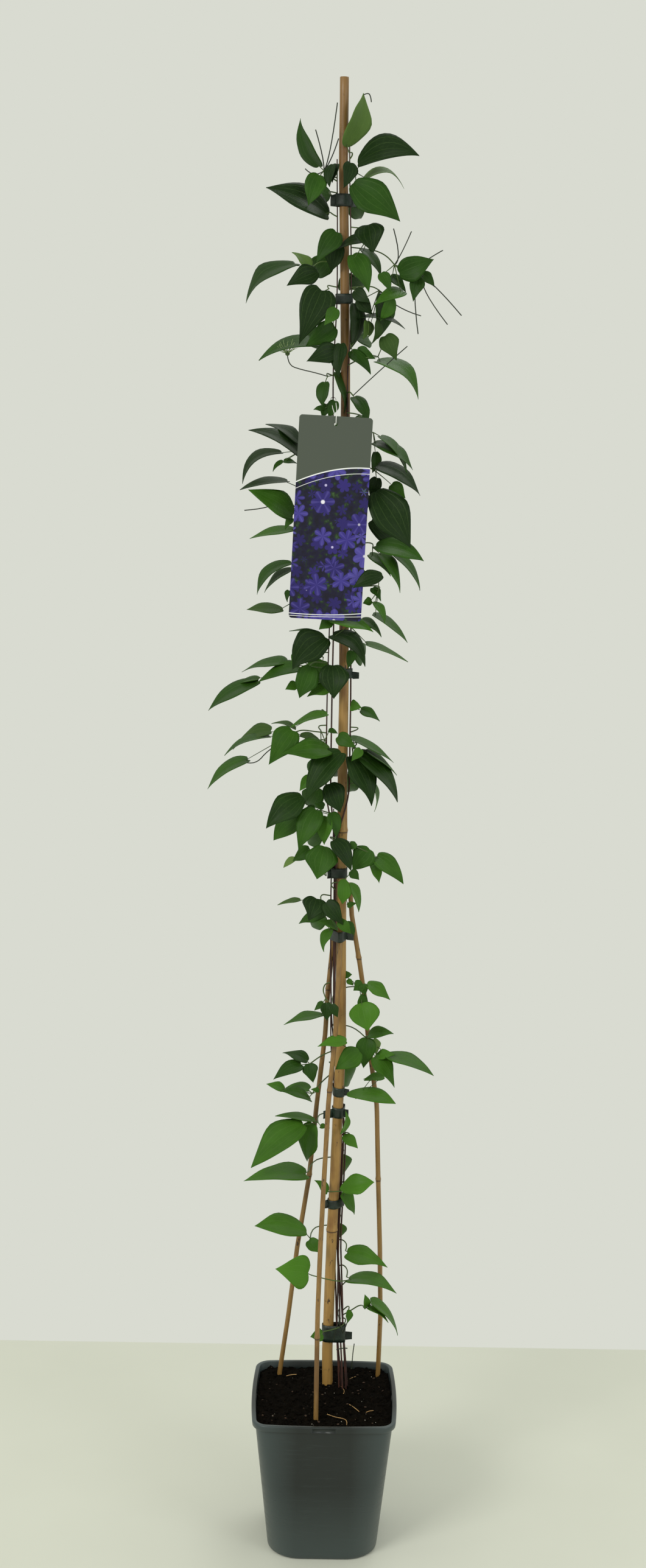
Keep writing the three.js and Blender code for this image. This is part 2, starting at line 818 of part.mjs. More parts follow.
function tube(points, radiusAt, sides, closed = false) {
  const count = points.length;
  let side = null;
  const rings = points.map((point, i) => {
    const before = closed ? points[(i - 1 + count) % count] : points[Math.max(i - 1, 0)];
    const after = closed ? points[(i + 1) % count] : points[Math.min(i + 1, count - 1)];
    const ahead = after.clone().sub(before).normalize();
    if (!side) side = new THREE.Vector3(1, 0.2, 0.1);
    side = side.clone().addScaledVector(ahead, -side.dot(ahead)).normalize();
    const across = ahead.clone().cross(side);
    return Array.from({ length: sides }, (_, k) => {
      const angle = (k / sides) * 2 * Math.PI;
      const radius = radiusAt(i / (count - 1), point);
      return point
        .clone()
        .addScaledVector(side, Math.cos(angle) * radius)
        .addScaledVector(across, Math.sin(angle) * radius);
    });
  });
  return skin(rings, closed);
}

// Where a route lies at a height: straight between its points, and straight on past its ends

function alongRows(rows, z) {
  let i = rows.findIndex((row) => row[0] >= z);
  if (i < 1) i = i === 0 ? 1 : rows.length - 1;
  const [low, high] = [rows[i - 1], rows[i]];
  const share = (z - low[0]) / (high[0] - low[0]);
  return low.map((value, k) => value + (high[k] - value) * share);
}

function caneRows(route) {
  return route.map((place) => {
    const point = seen(...place);
    return [point.z, point.x, point.y];
  });
}

function centreAt(rows, z) {
  const [, x, y] = alongRows(rows, z);
  return new THREE.Vector3(x, y, z);
}

const mainRows = caneRows(MAIN_CANE);
const thinRows = Object.fromEntries(
  Object.entries(THIN_CANES).map(([name, cane]) => [name, caneRows(cane.route)]),
);

function mainRadius(z) {
  const share = (z - SOIL_TOP) / (1908 - SOIL_TOP);
  return CANE.footRadius + (CANE.topRadius - CANE.footRadius) * THREE.MathUtils.clamp(share, 0, 1);
}

// A cane: a tapering rod with a low ring at each joint

function caneSolid(rows, radiusAt, footZ, rings, swell, sides) {
  const bends = [footZ, ...rows.map(([z]) => z)].filter((z) => z >= footZ);
  const clear = bends.filter((z) => rings.every((ring) => Math.abs(z - ring) > 12));
  const heights = [...clear, ...rings.flatMap((ring) => [ring - 5, ring, ring + 5])];
  heights.sort((low, high) => low - high);
  const swollen = (_, point) => radiusAt(point.z) + (rings.includes(point.z) ? swell : 0);
  return tube(heights.map((z) => centreAt(rows, z)), swollen, sides);
}

// A stem's centre at a height, from its turn about the main cane

function stemAt(name, z) {
  const [, turn, distance] = alongRows(STEMS[name], z);
  return aroundCane(z, THREE.MathUtils.degToRad(turn), distance);
}

function aroundCane(z, turn, distance) {
  const centre = centreAt(mainRows, z);
  centre.x += Math.sin(turn) * distance;
  centre.y -= Math.cos(turn) * distance;
  return centre;
}

function stemPoints(name) {
  const rows = STEMS[name];
  const heights = [rows[0][0]];
  rows.slice(1).forEach(([z, turn], i) => {
    const [lowZ, lowTurn] = rows[i];
    const pieces = Math.ceil(Math.max(Math.abs(turn - lowTurn) / 24, (z - lowZ) / 90));
    for (let k = 1; k <= pieces; k++) heights.push(lowZ + ((z - lowZ) * k) / pieces);
  });
  return heights.map((z) => stemAt(name, z));
}

// A petiole leaves its stem outwards and turns about the cane to its hub. One that hugs the cane
// turns first and leaves it later.

function petioleRoute(start, hub, hugs) {
  const polar = (point) => {
    const centre = centreAt(mainRows, point.z);
    const [dx, dy] = [point.x - centre.x, point.y - centre.y];
    return { turn: Math.atan2(dx, -dy), distance: Math.hypot(dx, dy) };
  };
  const from = polar(start);
  const to = polar(hub);
  let swing = to.turn - from.turn;
  if (swing > Math.PI) swing -= 2 * Math.PI;
  if (swing < -Math.PI) swing += 2 * Math.PI;
  const shares = Math.abs(swing) > 0.6 ? [0, 0.2, 0.5, 1] : [0, 1];
  return shares.map((share) => {
    const z = THREE.MathUtils.lerp(start.z, hub.z, share) + 3 * Math.sin(Math.PI * share);
    const away = hugs ? share ** 1.6 : Math.sqrt(share);
    const distance = THREE.MathUtils.lerp(from.distance, to.distance, away);
    return aroundCane(z, from.turn + swing * (hugs ? share : share * share), distance);
  });
}

// A blade: an ovate leaflet with a notched base and a drawn-out tip, folded along its rib.
// Its outline is a list of [rib share, edge share, half width share].

const OUTLINE = [[0.08, 0.04, 0.25], [0.38, 0.34, 0.5], [0.7, 0.67, 0.35]];
const SHORT_OUTLINE = [[0.14, 0.08, 0.34], [0.48, 0.44, 0.49]];

function outlineFor(length) {
  return length < 50 ? SHORT_OUTLINE : OUTLINE;
}

function bladeFrame([x0, z0, x1, z1, width, forward, nearer]) {
  const base = seen(x0, z0, forward);
  const tip = seen(x1, z1, forward + nearer);
  const axis = tip.clone().sub(base);
  const length = axis.length();
  axis.normalize();
  const sight = base.clone().sub(EYE).normalize();
  const side = axis.clone().cross(sight).normalize();
  const upright = Math.abs(z1 - z0) > Math.abs(x1 - x0);
  const outward = upright ? side.x * Math.sign(x0 + x1) : side.z;
  if (outward < 0) side.negate();
  const face = side.clone().cross(axis).normalize();
  if (face.dot(sight) > 0) face.negate();
  const fullWidth = Math.max(width, BLADE.fullness * length);
  const roll = Math.acos(Math.min(width / fullWidth, 1));
  const across = side.clone().multiplyScalar(Math.cos(roll)).addScaledVector(face, -Math.sin(roll));
  const normal = face.clone().multiplyScalar(Math.cos(roll)).addScaledVector(side, Math.sin(roll));
  return { base, axis, length, across, normal, fullWidth };
}

function blade(row) {
  const { base, axis, length, across, normal, fullWidth } = bladeFrame(row);
  const [arch = BLADE.arch, bend = 0] = row.slice(7);
  const half = BLADE.thickness / 2;
  const place = (share, sideways, lift) => {
    const swell = 4 * share * (1 - share) * length;
    return base
      .clone()
      .addScaledVector(axis, share * length)
      .addScaledVector(normal, arch * swell + lift)
      .addScaledVector(across, bend * swell + sideways);
  };
  const outline = outlineFor(length);
  const ribs = outline.map(([ribShare]) => place(ribShare, 0, 0));
  const edges = [-1, 1].map((way) =>
    outline.map(([, edgeShare, halfWidth]) => {
      const reach = halfWidth * fullWidth;
      return place(edgeShare, way * reach, BLADE.fold * reach);
    }),
  );
  const face = [place(0, 0, 0), ...ribs, place(1, 0, 0), ...edges[0], ...edges[1]];
  const points = [
    ...face.map((point) => point.clone().addScaledVector(normal, half)),
    ...face.map((point) => point.clone().addScaledVector(normal, -half)),
  ];

  const count = outline.length;
  const tip = count + 1;
  const under = face.length;
  const left = (i) => tip + i;
  const right = (i) => tip + count + i;
  const triangles = [];
  const both = (a, b, c) => triangles.push([a, b, c], [a + under, c + under, b + under]);
  both(0, 1, left(1));
  both(0, right(1), 1);
  for (let i = 1; i < count; i++) {
    both(i, i + 1, left(i + 1));
    both(i, left(i + 1), left(i));
    both(i, right(i), right(i + 1));
    both(i, right(i + 1), i + 1);
  }
  both(count, tip, left(count));
  both(count, right(count), tip);
  const order = Array.from({ length: count }, (_, i) => i + 1);
  const rim = [0, ...order.map(right), tip, ...order.map(left).reverse(), 0];
  for (let i = 0; i < rim.length - 1; i++) {
    const [a, b] = [rim[i], rim[i + 1]];
    triangles.push([a, a + under, b + under], [a, b + under, b]);
  }
  return solid(points, triangles);
}

// A little way inside the blade, where its petiole ends

function bladeRoot(row) {
  const { base, axis, normal, length } = bladeFrame(row);
  const share = outlineFor(length)[0][0];
  const arch = row[7] ?? BLADE.arch;
  const inside = base.clone().addScaledVector(axis, share * length);
  inside.addScaledVector(normal, 4 * share * (1 - share) * arch * length);
  return base.lerp(inside, 0.7);
}

function petiole(route, row, radius) {
  const radiusAt = (share) => (share < 1 ? radius : PETIOLE.tipRadius);
  return tube([...route, bladeRoot(row)], radiusAt, 3);
}

// A seed head: a small core with long feathery styles

function seedHead(centre) {
  const STYLES = 9;
  const core = solidFromGeometry(
    new THREE.IcosahedronGeometry(3.2, 0),
    new THREE.Matrix4().makeTranslation(centre),
  );
  const styles = Array.from({ length: STYLES }, (_, i) => {
    const turn = i * 2.4;
    const lean = 0.25 + 0.75 * Math.sqrt((i + 0.5) / STYLES);
    const way = new THREE.Vector3(
      Math.sin(lean) * Math.cos(turn) * 0.8,
      Math.sin(lean) * Math.sin(turn) * 0.8,
      Math.cos(lean),
    );
    const reach = 20 - 5 * lean;
    const points = [2, reach].map((distance) => centre.clone().addScaledVector(way, distance));
    return tube(points, (share) => 0.9 - 0.4 * share, 3);
  });
  return joined([core, ...styles]);
}

// A leafy stem: the stem, its petioles and blades, fused in one body

function leafyStem(name) {
  const taper = (share) => THREE.MathUtils.lerp(STEM.radius, STEM.tipRadius, share ** 3);
  const pieces = [tube(stemPoints(name), taper, 4)];
  for (const leaf of [...LEAVES[name], ...(BACK_LEAVES[name] ?? [])]) {
    const hub = seen(...leaf.hub);
    const route = petioleRoute(stemAt(name, leaf.from), hub, leaf.hugs);
    const blades = leaf.blades.filter((row) => bladeFrame(row).length >= SHORTEST_BLADE);
    blades.forEach((row, i) => {
      const [path, radius] = i === 0 ? [route, PETIOLE.radius] : [[hub], PETIOLE.leafletRadius];
      pieces.push(blade(row), petiole(path, row, radius));
    });
    for (const stalk of leaf.stalks ?? []) {
      pieces.push(tube(stalk.map((place) => seen(...place)), () => STALK_RADIUS, 3));
    }
    if (leaf.seedHead) pieces.push(seedHead(seen(...leaf.seedHead)));
  }
  return joined(pieces);
}

// The pot: a rounded square that turns from nearly an octagon at the base to a squarer mouth

function potOutline(z, inset) {
  const rise = THREE.MathUtils.clamp(z / POT.height, 0, 1);
  const half = THREE.MathUtils.lerp(POT.base, POT.mouth, rise) / 2 - inset;
  const corner = THREE.MathUtils.lerp(POT.baseCorner, POT.mouthCorner, rise) - inset;
  const straight = half - corner;
  const points = [];
  for (let quarter = 0; quarter < 4; quarter++) {
    const turn = (quarter * Math.PI) / 2;
    const put = (x, y) => {
      points.push(
        new THREE.Vector3(
          x * Math.cos(turn) - y * Math.sin(turn),
          x * Math.sin(turn) + y * Math.cos(turn),
          z,
        ),
      );
    };
    for (const share of [-0.4, 0.4]) {
      put(half + POT.bulge * rise * (1 - share * share), straight * share);
    }
    for (let step = 0; step <= 3; step++) {
      const angle = (step / 3) * (Math.PI / 2);
      put(straight + corner * Math.cos(angle), straight + corner * Math.sin(angle));
    }
  }
  return points;
}

function loft(levels) {
  return skin(levels.map(([z, inset]) => potOutline(z, inset)));
}

function box(width, depth, height, x, y, z) {
  const matrix = new THREE.Matrix4().makeTranslation(x, y, z);
  return solidFromGeometry(new THREE.BoxGeometry(width, depth, height), matrix);
}

function buildPot() {
  const lipZ = POT.height - POT.lipHeight;
  const shell = loft([[0, 0], [100, 0], [lipZ + 1, 0]]);
  const lip = loft([
    [lipZ, -POT.lip + 1],
    [lipZ + 1, -POT.lip],
    [POT.height - 1.5, -POT.lip],
    [POT.height, -POT.lip + 1.5],
  ]);
  const inside = loft([[POT.floor, POT.wall], [100, POT.wall], [POT.height + 1, POT.wall]]);
  let pot = shell.add(lip).subtract(inside);
  for (let i = 0; i < DRAIN.count; i++) {
    const angle = ((i + 0.5) / DRAIN.count) * 2 * Math.PI;
    const place = new THREE.Matrix4()
      .makeTranslation(DRAIN.ring * Math.cos(angle), DRAIN.ring * Math.sin(angle), POT.floor / 2)
      .multiply(new THREE.Matrix4().makeRotationX(Math.PI / 2));
    const drain = new THREE.CylinderGeometry(DRAIN.radius, DRAIN.radius, POT.floor * 2, 8);
    pot = pot.subtract(solidFromGeometry(drain, place));
  }
  const reach = POT.mouth + 4 * POT.lip;
  pot = pot.subtract(box(reach, HANDLE_SLOT.width, HANDLE_SLOT.height, 0, 0, HANDLE_SLOT.z));
  const faceY = -(POT.mouth / 2 + POT.bulge + POT.lip);
  const tabZ = POT.height - POT.lipHeight / 2;
  return pot.subtract(box(RIM_TAB.width, RIM_TAB.depth * 2, RIM_TAB.height, 0, faceY, tabZ));
}

// The soil: fills the pot, with a lumpy top and plain holes for the canes and stems

function lump(x, y) {
  return 1.6 * Math.sin(x * 0.19 + 0.7) * Math.cos(y * 0.23) + 1.2 * Math.sin(x * 0.41 + y * 0.37);
}

function buildSoil() {
  const gap = POT.wall + CLEARANCE;
  const rings = [POT.floor + CLEARANCE, 100, SOIL_TOP - 3].map((z) => potOutline(z, gap));
  const rim = potOutline(SOIL_TOP, gap);
  for (const share of [0.97, 0.72, 0.45, 0.2]) {
    rings.push(
      rim.map((point) => {
        const [x, y] = [point.x * share, point.y * share];
        return new THREE.Vector3(x, y, SOIL_TOP + lump(x, y));
      }),
    );
  }
  const capHeight = SOIL_TOP + lump(0, 0);
  rings[rings.length - 1].forEach((point) => (point.z = capHeight));
  let soil = skin(rings);
  const holes = [
    [mainRows, CANE.footZ, CANE.footRadius],
    ...Object.values(thinRows).map((rows) => [rows, THIN_CANE.footZ, THIN_CANE.radius]),
  ];
  for (const [rows, footZ, radius] of holes) {
    const bends = rows.map(([z]) => z).filter((z) => z > footZ && z < SOIL_TOP + 10);
    const route = [footZ - CLEARANCE, ...bends, SOIL_TOP + 14].map((z) => centreAt(rows, z));
    soil = soil.subtract(tube(route, () => radius + 2 * CLEARANCE, 8));
  }
  for (const name of Object.keys(STEMS)) {
    const route = [stemAt(name, STEM.footZ - CLEARANCE), ...stemPoints(name).slice(1, 3)];
    soil = soil.subtract(tube(route, () => STEM.radius + 2 * CLEARANCE, 6));
  }
  return soil;
}

// A tie of tape: a loop that wraps the cane and the stems it holds, with loose ends

function wrapOutline(circles, offset, z) {
  const reach = (angle) => {
    const way = [Math.cos(angle), Math.sin(angle)];
    const reaches = circles.map(({ x, y, radius }) => x * way[0] + y * way[1] + radius);
    return Math.max(...reaches) + offset;
  };
  const step = (2 * Math.PI) / TAPE.sides;
  return Array.from({ length: TAPE.sides }, (_, i) => {
    const [a, b] = [i * step, (i + 1) * step];
    const [ra, rb] = [reach(a), reach(b)];
    const x = (ra * Math.sin(b) - rb * Math.sin(a)) / Math.sin(step);
    const y = (rb * Math.cos(a) - ra * Math.cos(b)) / Math.sin(step);
    return new THREE.Vector3(x, y, z);
  });
}

function buildTape({ z: [lowZ, highZ], holds, ends }) {
  const circles = [];
  for (const z of [lowZ, (lowZ + highZ) / 2, highZ]) {
    const main = centreAt(mainRows, z);
    circles.push({ x: main.x, y: main.y, radius: mainRadius(z) });
    for (const name of holds) {
      const held = thinRows[name] ? centreAt(thinRows[name], z) : stemAt(name, z);
      const radius = thinRows[name] ? THIN_CANE.radius : STEM.radius;
      circles.push({ x: held.x, y: held.y, radius });
    }
  }
  const wrap = (offset, z) => wrapOutline(circles, offset, z);
  const outer = TAPE.gap + TAPE.thickness;
  const full = skin([wrap(outer, lowZ), wrap(outer, highZ)]);
  const hollow = skin([wrap(TAPE.gap, lowZ - 1), wrap(TAPE.gap, highZ + 1)]);
  let tape = full.subtract(hollow);
  const wall = wrap(outer - TAPE.thickness / 2, lowZ);
  for (const [degrees, length, share] of ends) {
    const turn = THREE.MathUtils.degToRad(degrees);
    const way = new THREE.Vector3(Math.sin(turn), -Math.cos(turn), 0);
    const anchor = wall.reduce((best, point) => (point.dot(way) > best.dot(way) ? point : best));
    const height = (highZ - lowZ) * share;
    const place = new THREE.Matrix4()
      .makeTranslation(anchor.clone().addScaledVector(way, length / 2).setZ(lowZ + height / 2))
      .multiply(new THREE.Matrix4().makeRotationZ(turn - Math.PI / 2));
    tape = tape.add(solidFromGeometry(new THREE.BoxGeometry(length, TAPE.thickness, height), place));
  }
  return tape;
}

// The label: a card with round corners and a hole, leaning a little, and its thin loop

function labelPlace() {
  const [x, y, z] = LABEL.middle;
  return new THREE.Matrix4()
    .makeTranslation(x, y, z)
    .multiply(new THREE.Matrix4().makeRotationY(THREE.MathUtils.degToRad(LABEL.lean)))
    .multiply(new THREE.Matrix4().makeRotationX(Math.PI / 2));
}

function buildLabel() {
  const [halfWidth, halfHeight, corner] = [LABEL.width / 2, LABEL.height / 2, LABEL.corner];
  const card = new THREE.Shape();
  card.moveTo(-halfWidth + corner, -halfHeight);
  card.lineTo(halfWidth - corner, -halfHeight);
  card.absarc(halfWidth - corner, -halfHeight + corner, corner, -Math.PI / 2, 0);
  card.lineTo(halfWidth, halfHeight - corner);
  card.absarc(halfWidth - corner, halfHeight - corner, corner, 0, Math.PI / 2);
  card.lineTo(-halfWidth + corner, halfHeight);
  card.absarc(-halfWidth + corner, halfHeight - corner, corner, Math.PI / 2, Math.PI);
  card.lineTo(-halfWidth, -halfHeight + corner);
  card.absarc(-halfWidth + corner, -halfHeight + corner, corner, Math.PI, 1.5 * Math.PI);
  const hole = new THREE.Path();
  hole.absarc(0, halfHeight - LABEL.holeDrop, LABEL.holeRadius, 0, 2 * Math.PI, true);
  card.holes.push(hole);
  const options = { depth: LABEL.thickness, bevelEnabled: false, curveSegments: 3 };
  const geometry = new THREE.ExtrudeGeometry(card, options);
  geometry.translate(0, 0, -LABEL.thickness / 2);
  return solidFromGeometry(geometry, labelPlace());
}

function buildLabelTie() {
  const hole = new THREE.Vector3(0, LABEL.height / 2 - LABEL.holeDrop, 0).applyMatrix4(labelPlace());
  const knotZ = 1526;
  const stem = stemAt("stem_left_top", knotZ);
  const about = STEM.radius + 0.75;
  const around = (turn) =>
    new THREE.Vector3(stem.x + about * Math.sin(turn), stem.y - about * Math.cos(turn), knotZ);
  const route = new THREE.CatmullRomCurve3(
    [
      hole,
      hole.clone().add(new THREE.Vector3(-0.6, 7, 7)),
      hole.clone().lerp(around(-1.6), 0.6).add(new THREE.Vector3(-1, 0, 2)),
      around(-1.6),
      around(Math.PI),
      around(1.6),
      hole.clone().lerp(around(1.6), 0.6).add(new THREE.Vector3(1, 0, 5)),
      hole.clone().add(new THREE.Vector3(0.8, 2, 13)),
      hole.clone().add(new THREE.Vector3(0.4, -3, 9)),
    ],
    true,
  );
  return tube(route.getPoints(26).slice(0, -1), () => LABEL_TIE_RADIUS, 4, true);
}

// The assembly

const clematis = new THREE.Group();

function place(name, whole, material) {
  clematis.add(meshOf(name, whole, material));
}

place("pot", buildPot(), MATERIALS.pot);
place("soil", buildSoil(), MATERIALS.soil);

const mainCane = caneSolid(mainRows, mainRadius, CANE.footZ, CANE.rings, CANE.ringSwell, 8);
place("cane_main", mainCane, MATERIALS.cane);
for (const [name, { rings }] of Object.entries(THIN_CANES)) {
  const cane = caneSolid(
    thinRows[name],
    () => THIN_CANE.radius,
    THIN_CANE.footZ,
    rings,
    THIN_CANE.ringSwell,
    6,
  );
  place(name, cane, MATERIALS.thinCane);
}
for (const name of Object.keys(STEMS)) {
  place(name, leafyStem(name), MATERIALS.leaf);
}
for (const [name, tape] of Object.entries(TAPES)) {
  place(name, buildTape(tape), MATERIALS.tape);
}
place("label", buildLabel(), MATERIALS.label);
place("label_tie", buildLabelTie(), MATERIALS.labelTie);

export default clematis;
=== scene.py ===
# %% [markdown]
# # A potted clematis
# The plant is a climber in a square nursery pot. A tall cane and three thin ones stand in the
# soil, five leafy stems are tied to the tall cane with soft tape, and a printed card hangs from
# one of them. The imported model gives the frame: everything here is put where it says, and the
# pieces made here are finer versions of its solids.

import math
import random

import bmesh
import bpy
from mathutils import Matrix, Vector, noise


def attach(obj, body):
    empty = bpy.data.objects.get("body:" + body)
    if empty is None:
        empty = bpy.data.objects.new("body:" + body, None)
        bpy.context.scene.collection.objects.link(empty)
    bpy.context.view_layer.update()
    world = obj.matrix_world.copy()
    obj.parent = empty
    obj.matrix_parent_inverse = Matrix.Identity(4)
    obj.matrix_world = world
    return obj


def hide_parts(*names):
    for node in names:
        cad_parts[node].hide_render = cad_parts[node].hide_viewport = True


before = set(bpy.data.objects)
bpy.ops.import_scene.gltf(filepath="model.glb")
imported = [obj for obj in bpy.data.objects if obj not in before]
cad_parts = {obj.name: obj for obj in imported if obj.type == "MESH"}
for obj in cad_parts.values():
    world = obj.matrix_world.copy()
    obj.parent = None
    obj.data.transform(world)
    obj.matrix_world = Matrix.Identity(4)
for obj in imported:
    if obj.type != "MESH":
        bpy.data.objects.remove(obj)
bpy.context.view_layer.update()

# %% [markdown]
# The camera comes first. It stands in front of the plant at about eye height, looks a little
# down, and has a slight roll. The lens is given for a sensor 36 mm along its long side. The same
# eye point, in millimetres, serves later to lay out the leaves as they are seen from the front.

# %% Camera
MM = 0.001
EYE = Vector((-14, -2729, 1608))
LENS = 50.31
SENSOR = 36
TILT_DOWN = 11.7
ROLL = 0.87

camera_data = bpy.data.cameras.new("camera")
camera_data.lens = LENS
camera_data.sensor_width = SENSOR
camera = bpy.data.objects.new("camera", camera_data)
bpy.context.scene.collection.objects.link(camera)
camera.matrix_world = (
    Matrix.Translation(EYE * MM)
    @ Matrix.Rotation(math.radians(90 - TILT_DOWN), 4, "X")
    @ Matrix.Rotation(math.radians(ROLL), 4, "Z")
)
bpy.context.scene.camera = camera
print("camera at", tuple(camera.matrix_world.translation))

# %% [markdown]
# A material here is a small tree of nodes round one Principled shader. Three helpers keep each
# tree short: one adds a node and joins its inputs, one mixes two colours, one makes a ramp.
# Colours are written as on a paint card, in hex, and turned into the linear values that the
# renderer works in. The view is set to Standard, so that those colours come out as written.

# %% Material helpers
bpy.context.scene.view_settings.view_transform = "Standard"


def paint(code):
    """The linear colour of a six-digit hex code."""
    shares = [int(code[i : i + 2], 16) / 255 for i in (0, 2, 4)]
    linear = [s / 12.92 if s <= 0.04045 else ((s + 0.055) / 1.055) ** 2.4 for s in shares]
    return (*linear, 1)


def start_material(name, roughness, **sockets):
    """A new material with its shader; the other sockets are named with underlines."""
    material = bpy.data.materials.new(name)
    material.use_nodes = True
    tree = material.node_tree
    shader = tree.nodes["Principled BSDF"]
    shader.inputs["Roughness"].default_value = roughness
    for key, value in sockets.items():
        shader.inputs[key.replace("_", " ")].default_value = value
    return material, tree, shader


def add(tree, kind, inputs=None, **settings):
    """A node of the tree, with its inputs set or joined."""
    made = tree.nodes.new("ShaderNode" + kind)
    for key, value in settings.items():
        setattr(made, key, value)
    for key, value in (inputs or {}).items():
        if isinstance(value, bpy.types.NodeSocket):
            tree.links.new(value, made.inputs[key])
        else:
            made.inputs[key].default_value = value
    return made


def sums(tree, operation, first, second=0.0, third=0.0, clamp=False):
    """The result of one Math node."""
    inputs = {0: first, 1: second, 2: third}
    return add(tree, "Math", inputs, operation=operation, use_clamp=clamp).outputs[0]


def mixed(tree, share, first, second, blend="MIX"):
    """A mix of two colours, each a socket or a hex code."""
    first, second = [paint(c) if isinstance(c, str) else c for c in (first, second)]
    inputs = {0: share, 6: first, 7: second}
    return add(tree, "Mix", inputs, data_type="RGBA", blend_type=blend).outputs[2]


def ramp(tree, share, stops):
    """A colour ramp, with its stops as (position, hex code)."""
    made = add(tree, "ValToRGB", {0: share})
    elements = made.color_ramp.elements
    while len(elements) < len(stops):
        elements.new(0.5)
    for element, (position, code) in zip(elements, stops):
        element.position = position
        element.color = paint(code)
    return made.outputs[0]


def span(tree, value, low, high, to_low=0.0, to_high=1.0):
    """A value's share of the way from low to high, held between the new limits."""
    inputs = {0: value, 1: low, 2: high, 3: to_low, 4: to_high}
    return add(tree, "MapRange", inputs).outputs[0]


def speckle(tree, coords, scale, detail=3.0, roughness=0.55, stretch=(1, 1, 1)):
    """Noise in object coordinates, stretched along an axis where asked."""
    placed = add(tree, "Mapping", {"Vector": coords, "Scale": stretch}).outputs[0]
    inputs = {"Vector": placed, "Scale": scale, "Detail": detail, "Roughness": roughness}
    return add(tree, "TexNoise", inputs).outputs[0]


def relief(tree, shader, height, distance, strength=1.0):
    """Bump of a height in metres on the shader."""
    bump = add(tree, "Bump", {"Height": height, "Distance": distance, "Strength": strength})
    tree.links.new(bump.outputs[0], shader.inputs["Normal"])


def object_coords(tree):
    return add(tree, "TexCoord").outputs["Object"]


def paint_base(tree, shader, colour):
    """Joins a colour to the shader."""
    tree.links.new(colour, shader.inputs["Base Color"])


def two_tone(name, roughness, scale, dark, light):
    """A plain material whose two colours are mixed by noise."""
    material, tree, shader = start_material(name, roughness)
    paint_base(tree, shader, mixed(tree, speckle(tree, object_coords(tree), scale), dark, light))
    return material


# %% [markdown]
# Most pieces are built as a bmesh in millimetres. A round or square shape grows ring by ring
# from its first ring of edges, and its ends are closed last.

# %% Mesh helpers
FULL_TURN = 6.28


def verts_of(edges):
    return {vert for edge in edges for vert in edge.verts}


def grow_ring(bm, edges):
    """Extrudes a ring of edges and gives the new ring, still in the old one's place."""
    grown = bmesh.ops.extrude_edge_only(bm, edges=edges)["geom"]
    return [part for part in grown if isinstance(part, bmesh.types.BMEdge)]


def close_ends(bm, ends):
    """Fills the open ends and turns all faces outwards."""
    for loop in ends:
        bmesh.ops.contextual_create(bm, geom=loop)
    bmesh.ops.recalc_face_normals(bm, faces=bm.faces)


def mark_faces(verts, material_index):
    """Gives the faces at these vertices one of their object's materials."""
    for face in {face for vert in verts for face in vert.link_faces}:
        face.material_index = material_index


def finish_mesh(bm, name, materials, smooth=True):
    """Turns a bmesh in millimetres into an object in metres with its place in its mesh."""
    bmesh.ops.scale(bm, vec=(MM, MM, MM), verts=bm.verts)
    mesh = bpy.data.meshes.new(name)
    bm.to_mesh(mesh)
    bm.free()
    for material in materials:
        mesh.materials.append(material)
    mesh.polygons.foreach_set("use_smooth", [smooth] * len(mesh.polygons))
    made = bpy.data.objects.new(name, mesh)
    bpy.context.scene.collection.objects.link(made)
    return made


# %% [markdown]
# The room is a plain pale floor, a pale world that stands for a wall, and soft lights: a large
# one high in front to the left, a weaker one to the right, and one from above and behind that
# picks out the edges of the leaves.

# %% Floor, world and lights
FLOOR = {"half_width": 1500, "front": -1500, "back": 560, "drop": 0.3}

bm = bmesh.new()
bmesh.ops.create_grid(bm, x_segments=1, y_segments=1, size=1)
for vert in bm.verts:
    depth = FLOOR["back"] if vert.co.y > 0 else FLOOR["front"]
    vert.co = (vert.co.x * FLOOR["half_width"], depth, -FLOOR["drop"])
floor = finish_mesh(bm, "floor", [two_tone("pale_floor", 0.85, 3.0, "cdcfc3", "d6d8cc")])

world = bpy.data.worlds.new("pale_room")
world.use_nodes = True
backdrop = world.node_tree.nodes["Background"]
backdrop.inputs["Color"].default_value = paint("d9dbd1")
backdrop.inputs["Strength"].default_value = 1.0
bpy.context.scene.world = world


def soft_light(name, place, target, size, power, colour):
    """A square area light that looks at a point, in metres and watts."""
    data = bpy.data.lights.new(name, "AREA")
    data.size = size
    data.energy = power
    data.color = paint(colour)[:3]
    light = bpy.data.objects.new(name, data)
    bpy.context.scene.collection.objects.link(light)
    way = Vector(target) - Vector(place)
    light.matrix_world = Matrix.Translation(place) @ way.to_track_quat("-Z", "Y").to_matrix().to_4x4()
    return light


soft_light("front_left", (-2.2, -2.6, 3.0), (0, 0, 1.0), 1.4, 62, "fffdf8")
soft_light("front_right", (2.4, -2.2, 2.2), (0, 0, 0.9), 1.4, 18, "fbfdff")
soft_light("top_back", (0.6, 1.4, 3.2), (0, 0, 1.2), 1.2, 14, "ffffff")
print("floor, world and three lights")

# %% [markdown]
# ## The pot
# The real pot is injection moulded: a rounded square that grows from almost an octagon at the
# base to a squarer mouth, with a turned-over lip. One way to make it is a cube with its edges
# bevelled, but then the corners couldn't change their radius on the way up. Here a circle is
# pushed out to the rounded square at each height, and its edge is extruded from ring to ring.
# Slots, drain holes and the shallow recess in the lip are cut with Boolean modifiers.

# %% Shape of the pot
POT = {
    "height": 204, "mouth": 182, "base": 147, "mouth_corner": 17, "base_corner": 44,
    "bulge": 2.6, "wall": 2, "floor": 3, "lip": 4, "lip_height": 9,
}
POT_SEGMENTS = 192
CROWDING = 0.12
DRAIN = {"count": 8, "radius": 5, "ring": 46}
HANDLE_SLOT = {"width": 12, "height": 3.2, "z": 199.5}
RIM_TAB = {"width": 30, "height": 6, "depth": 1.2}
SOIL_TOP = 197
CLEARANCE = 0.35


def lerp(low, high, share):
    return low + (high - low) * share


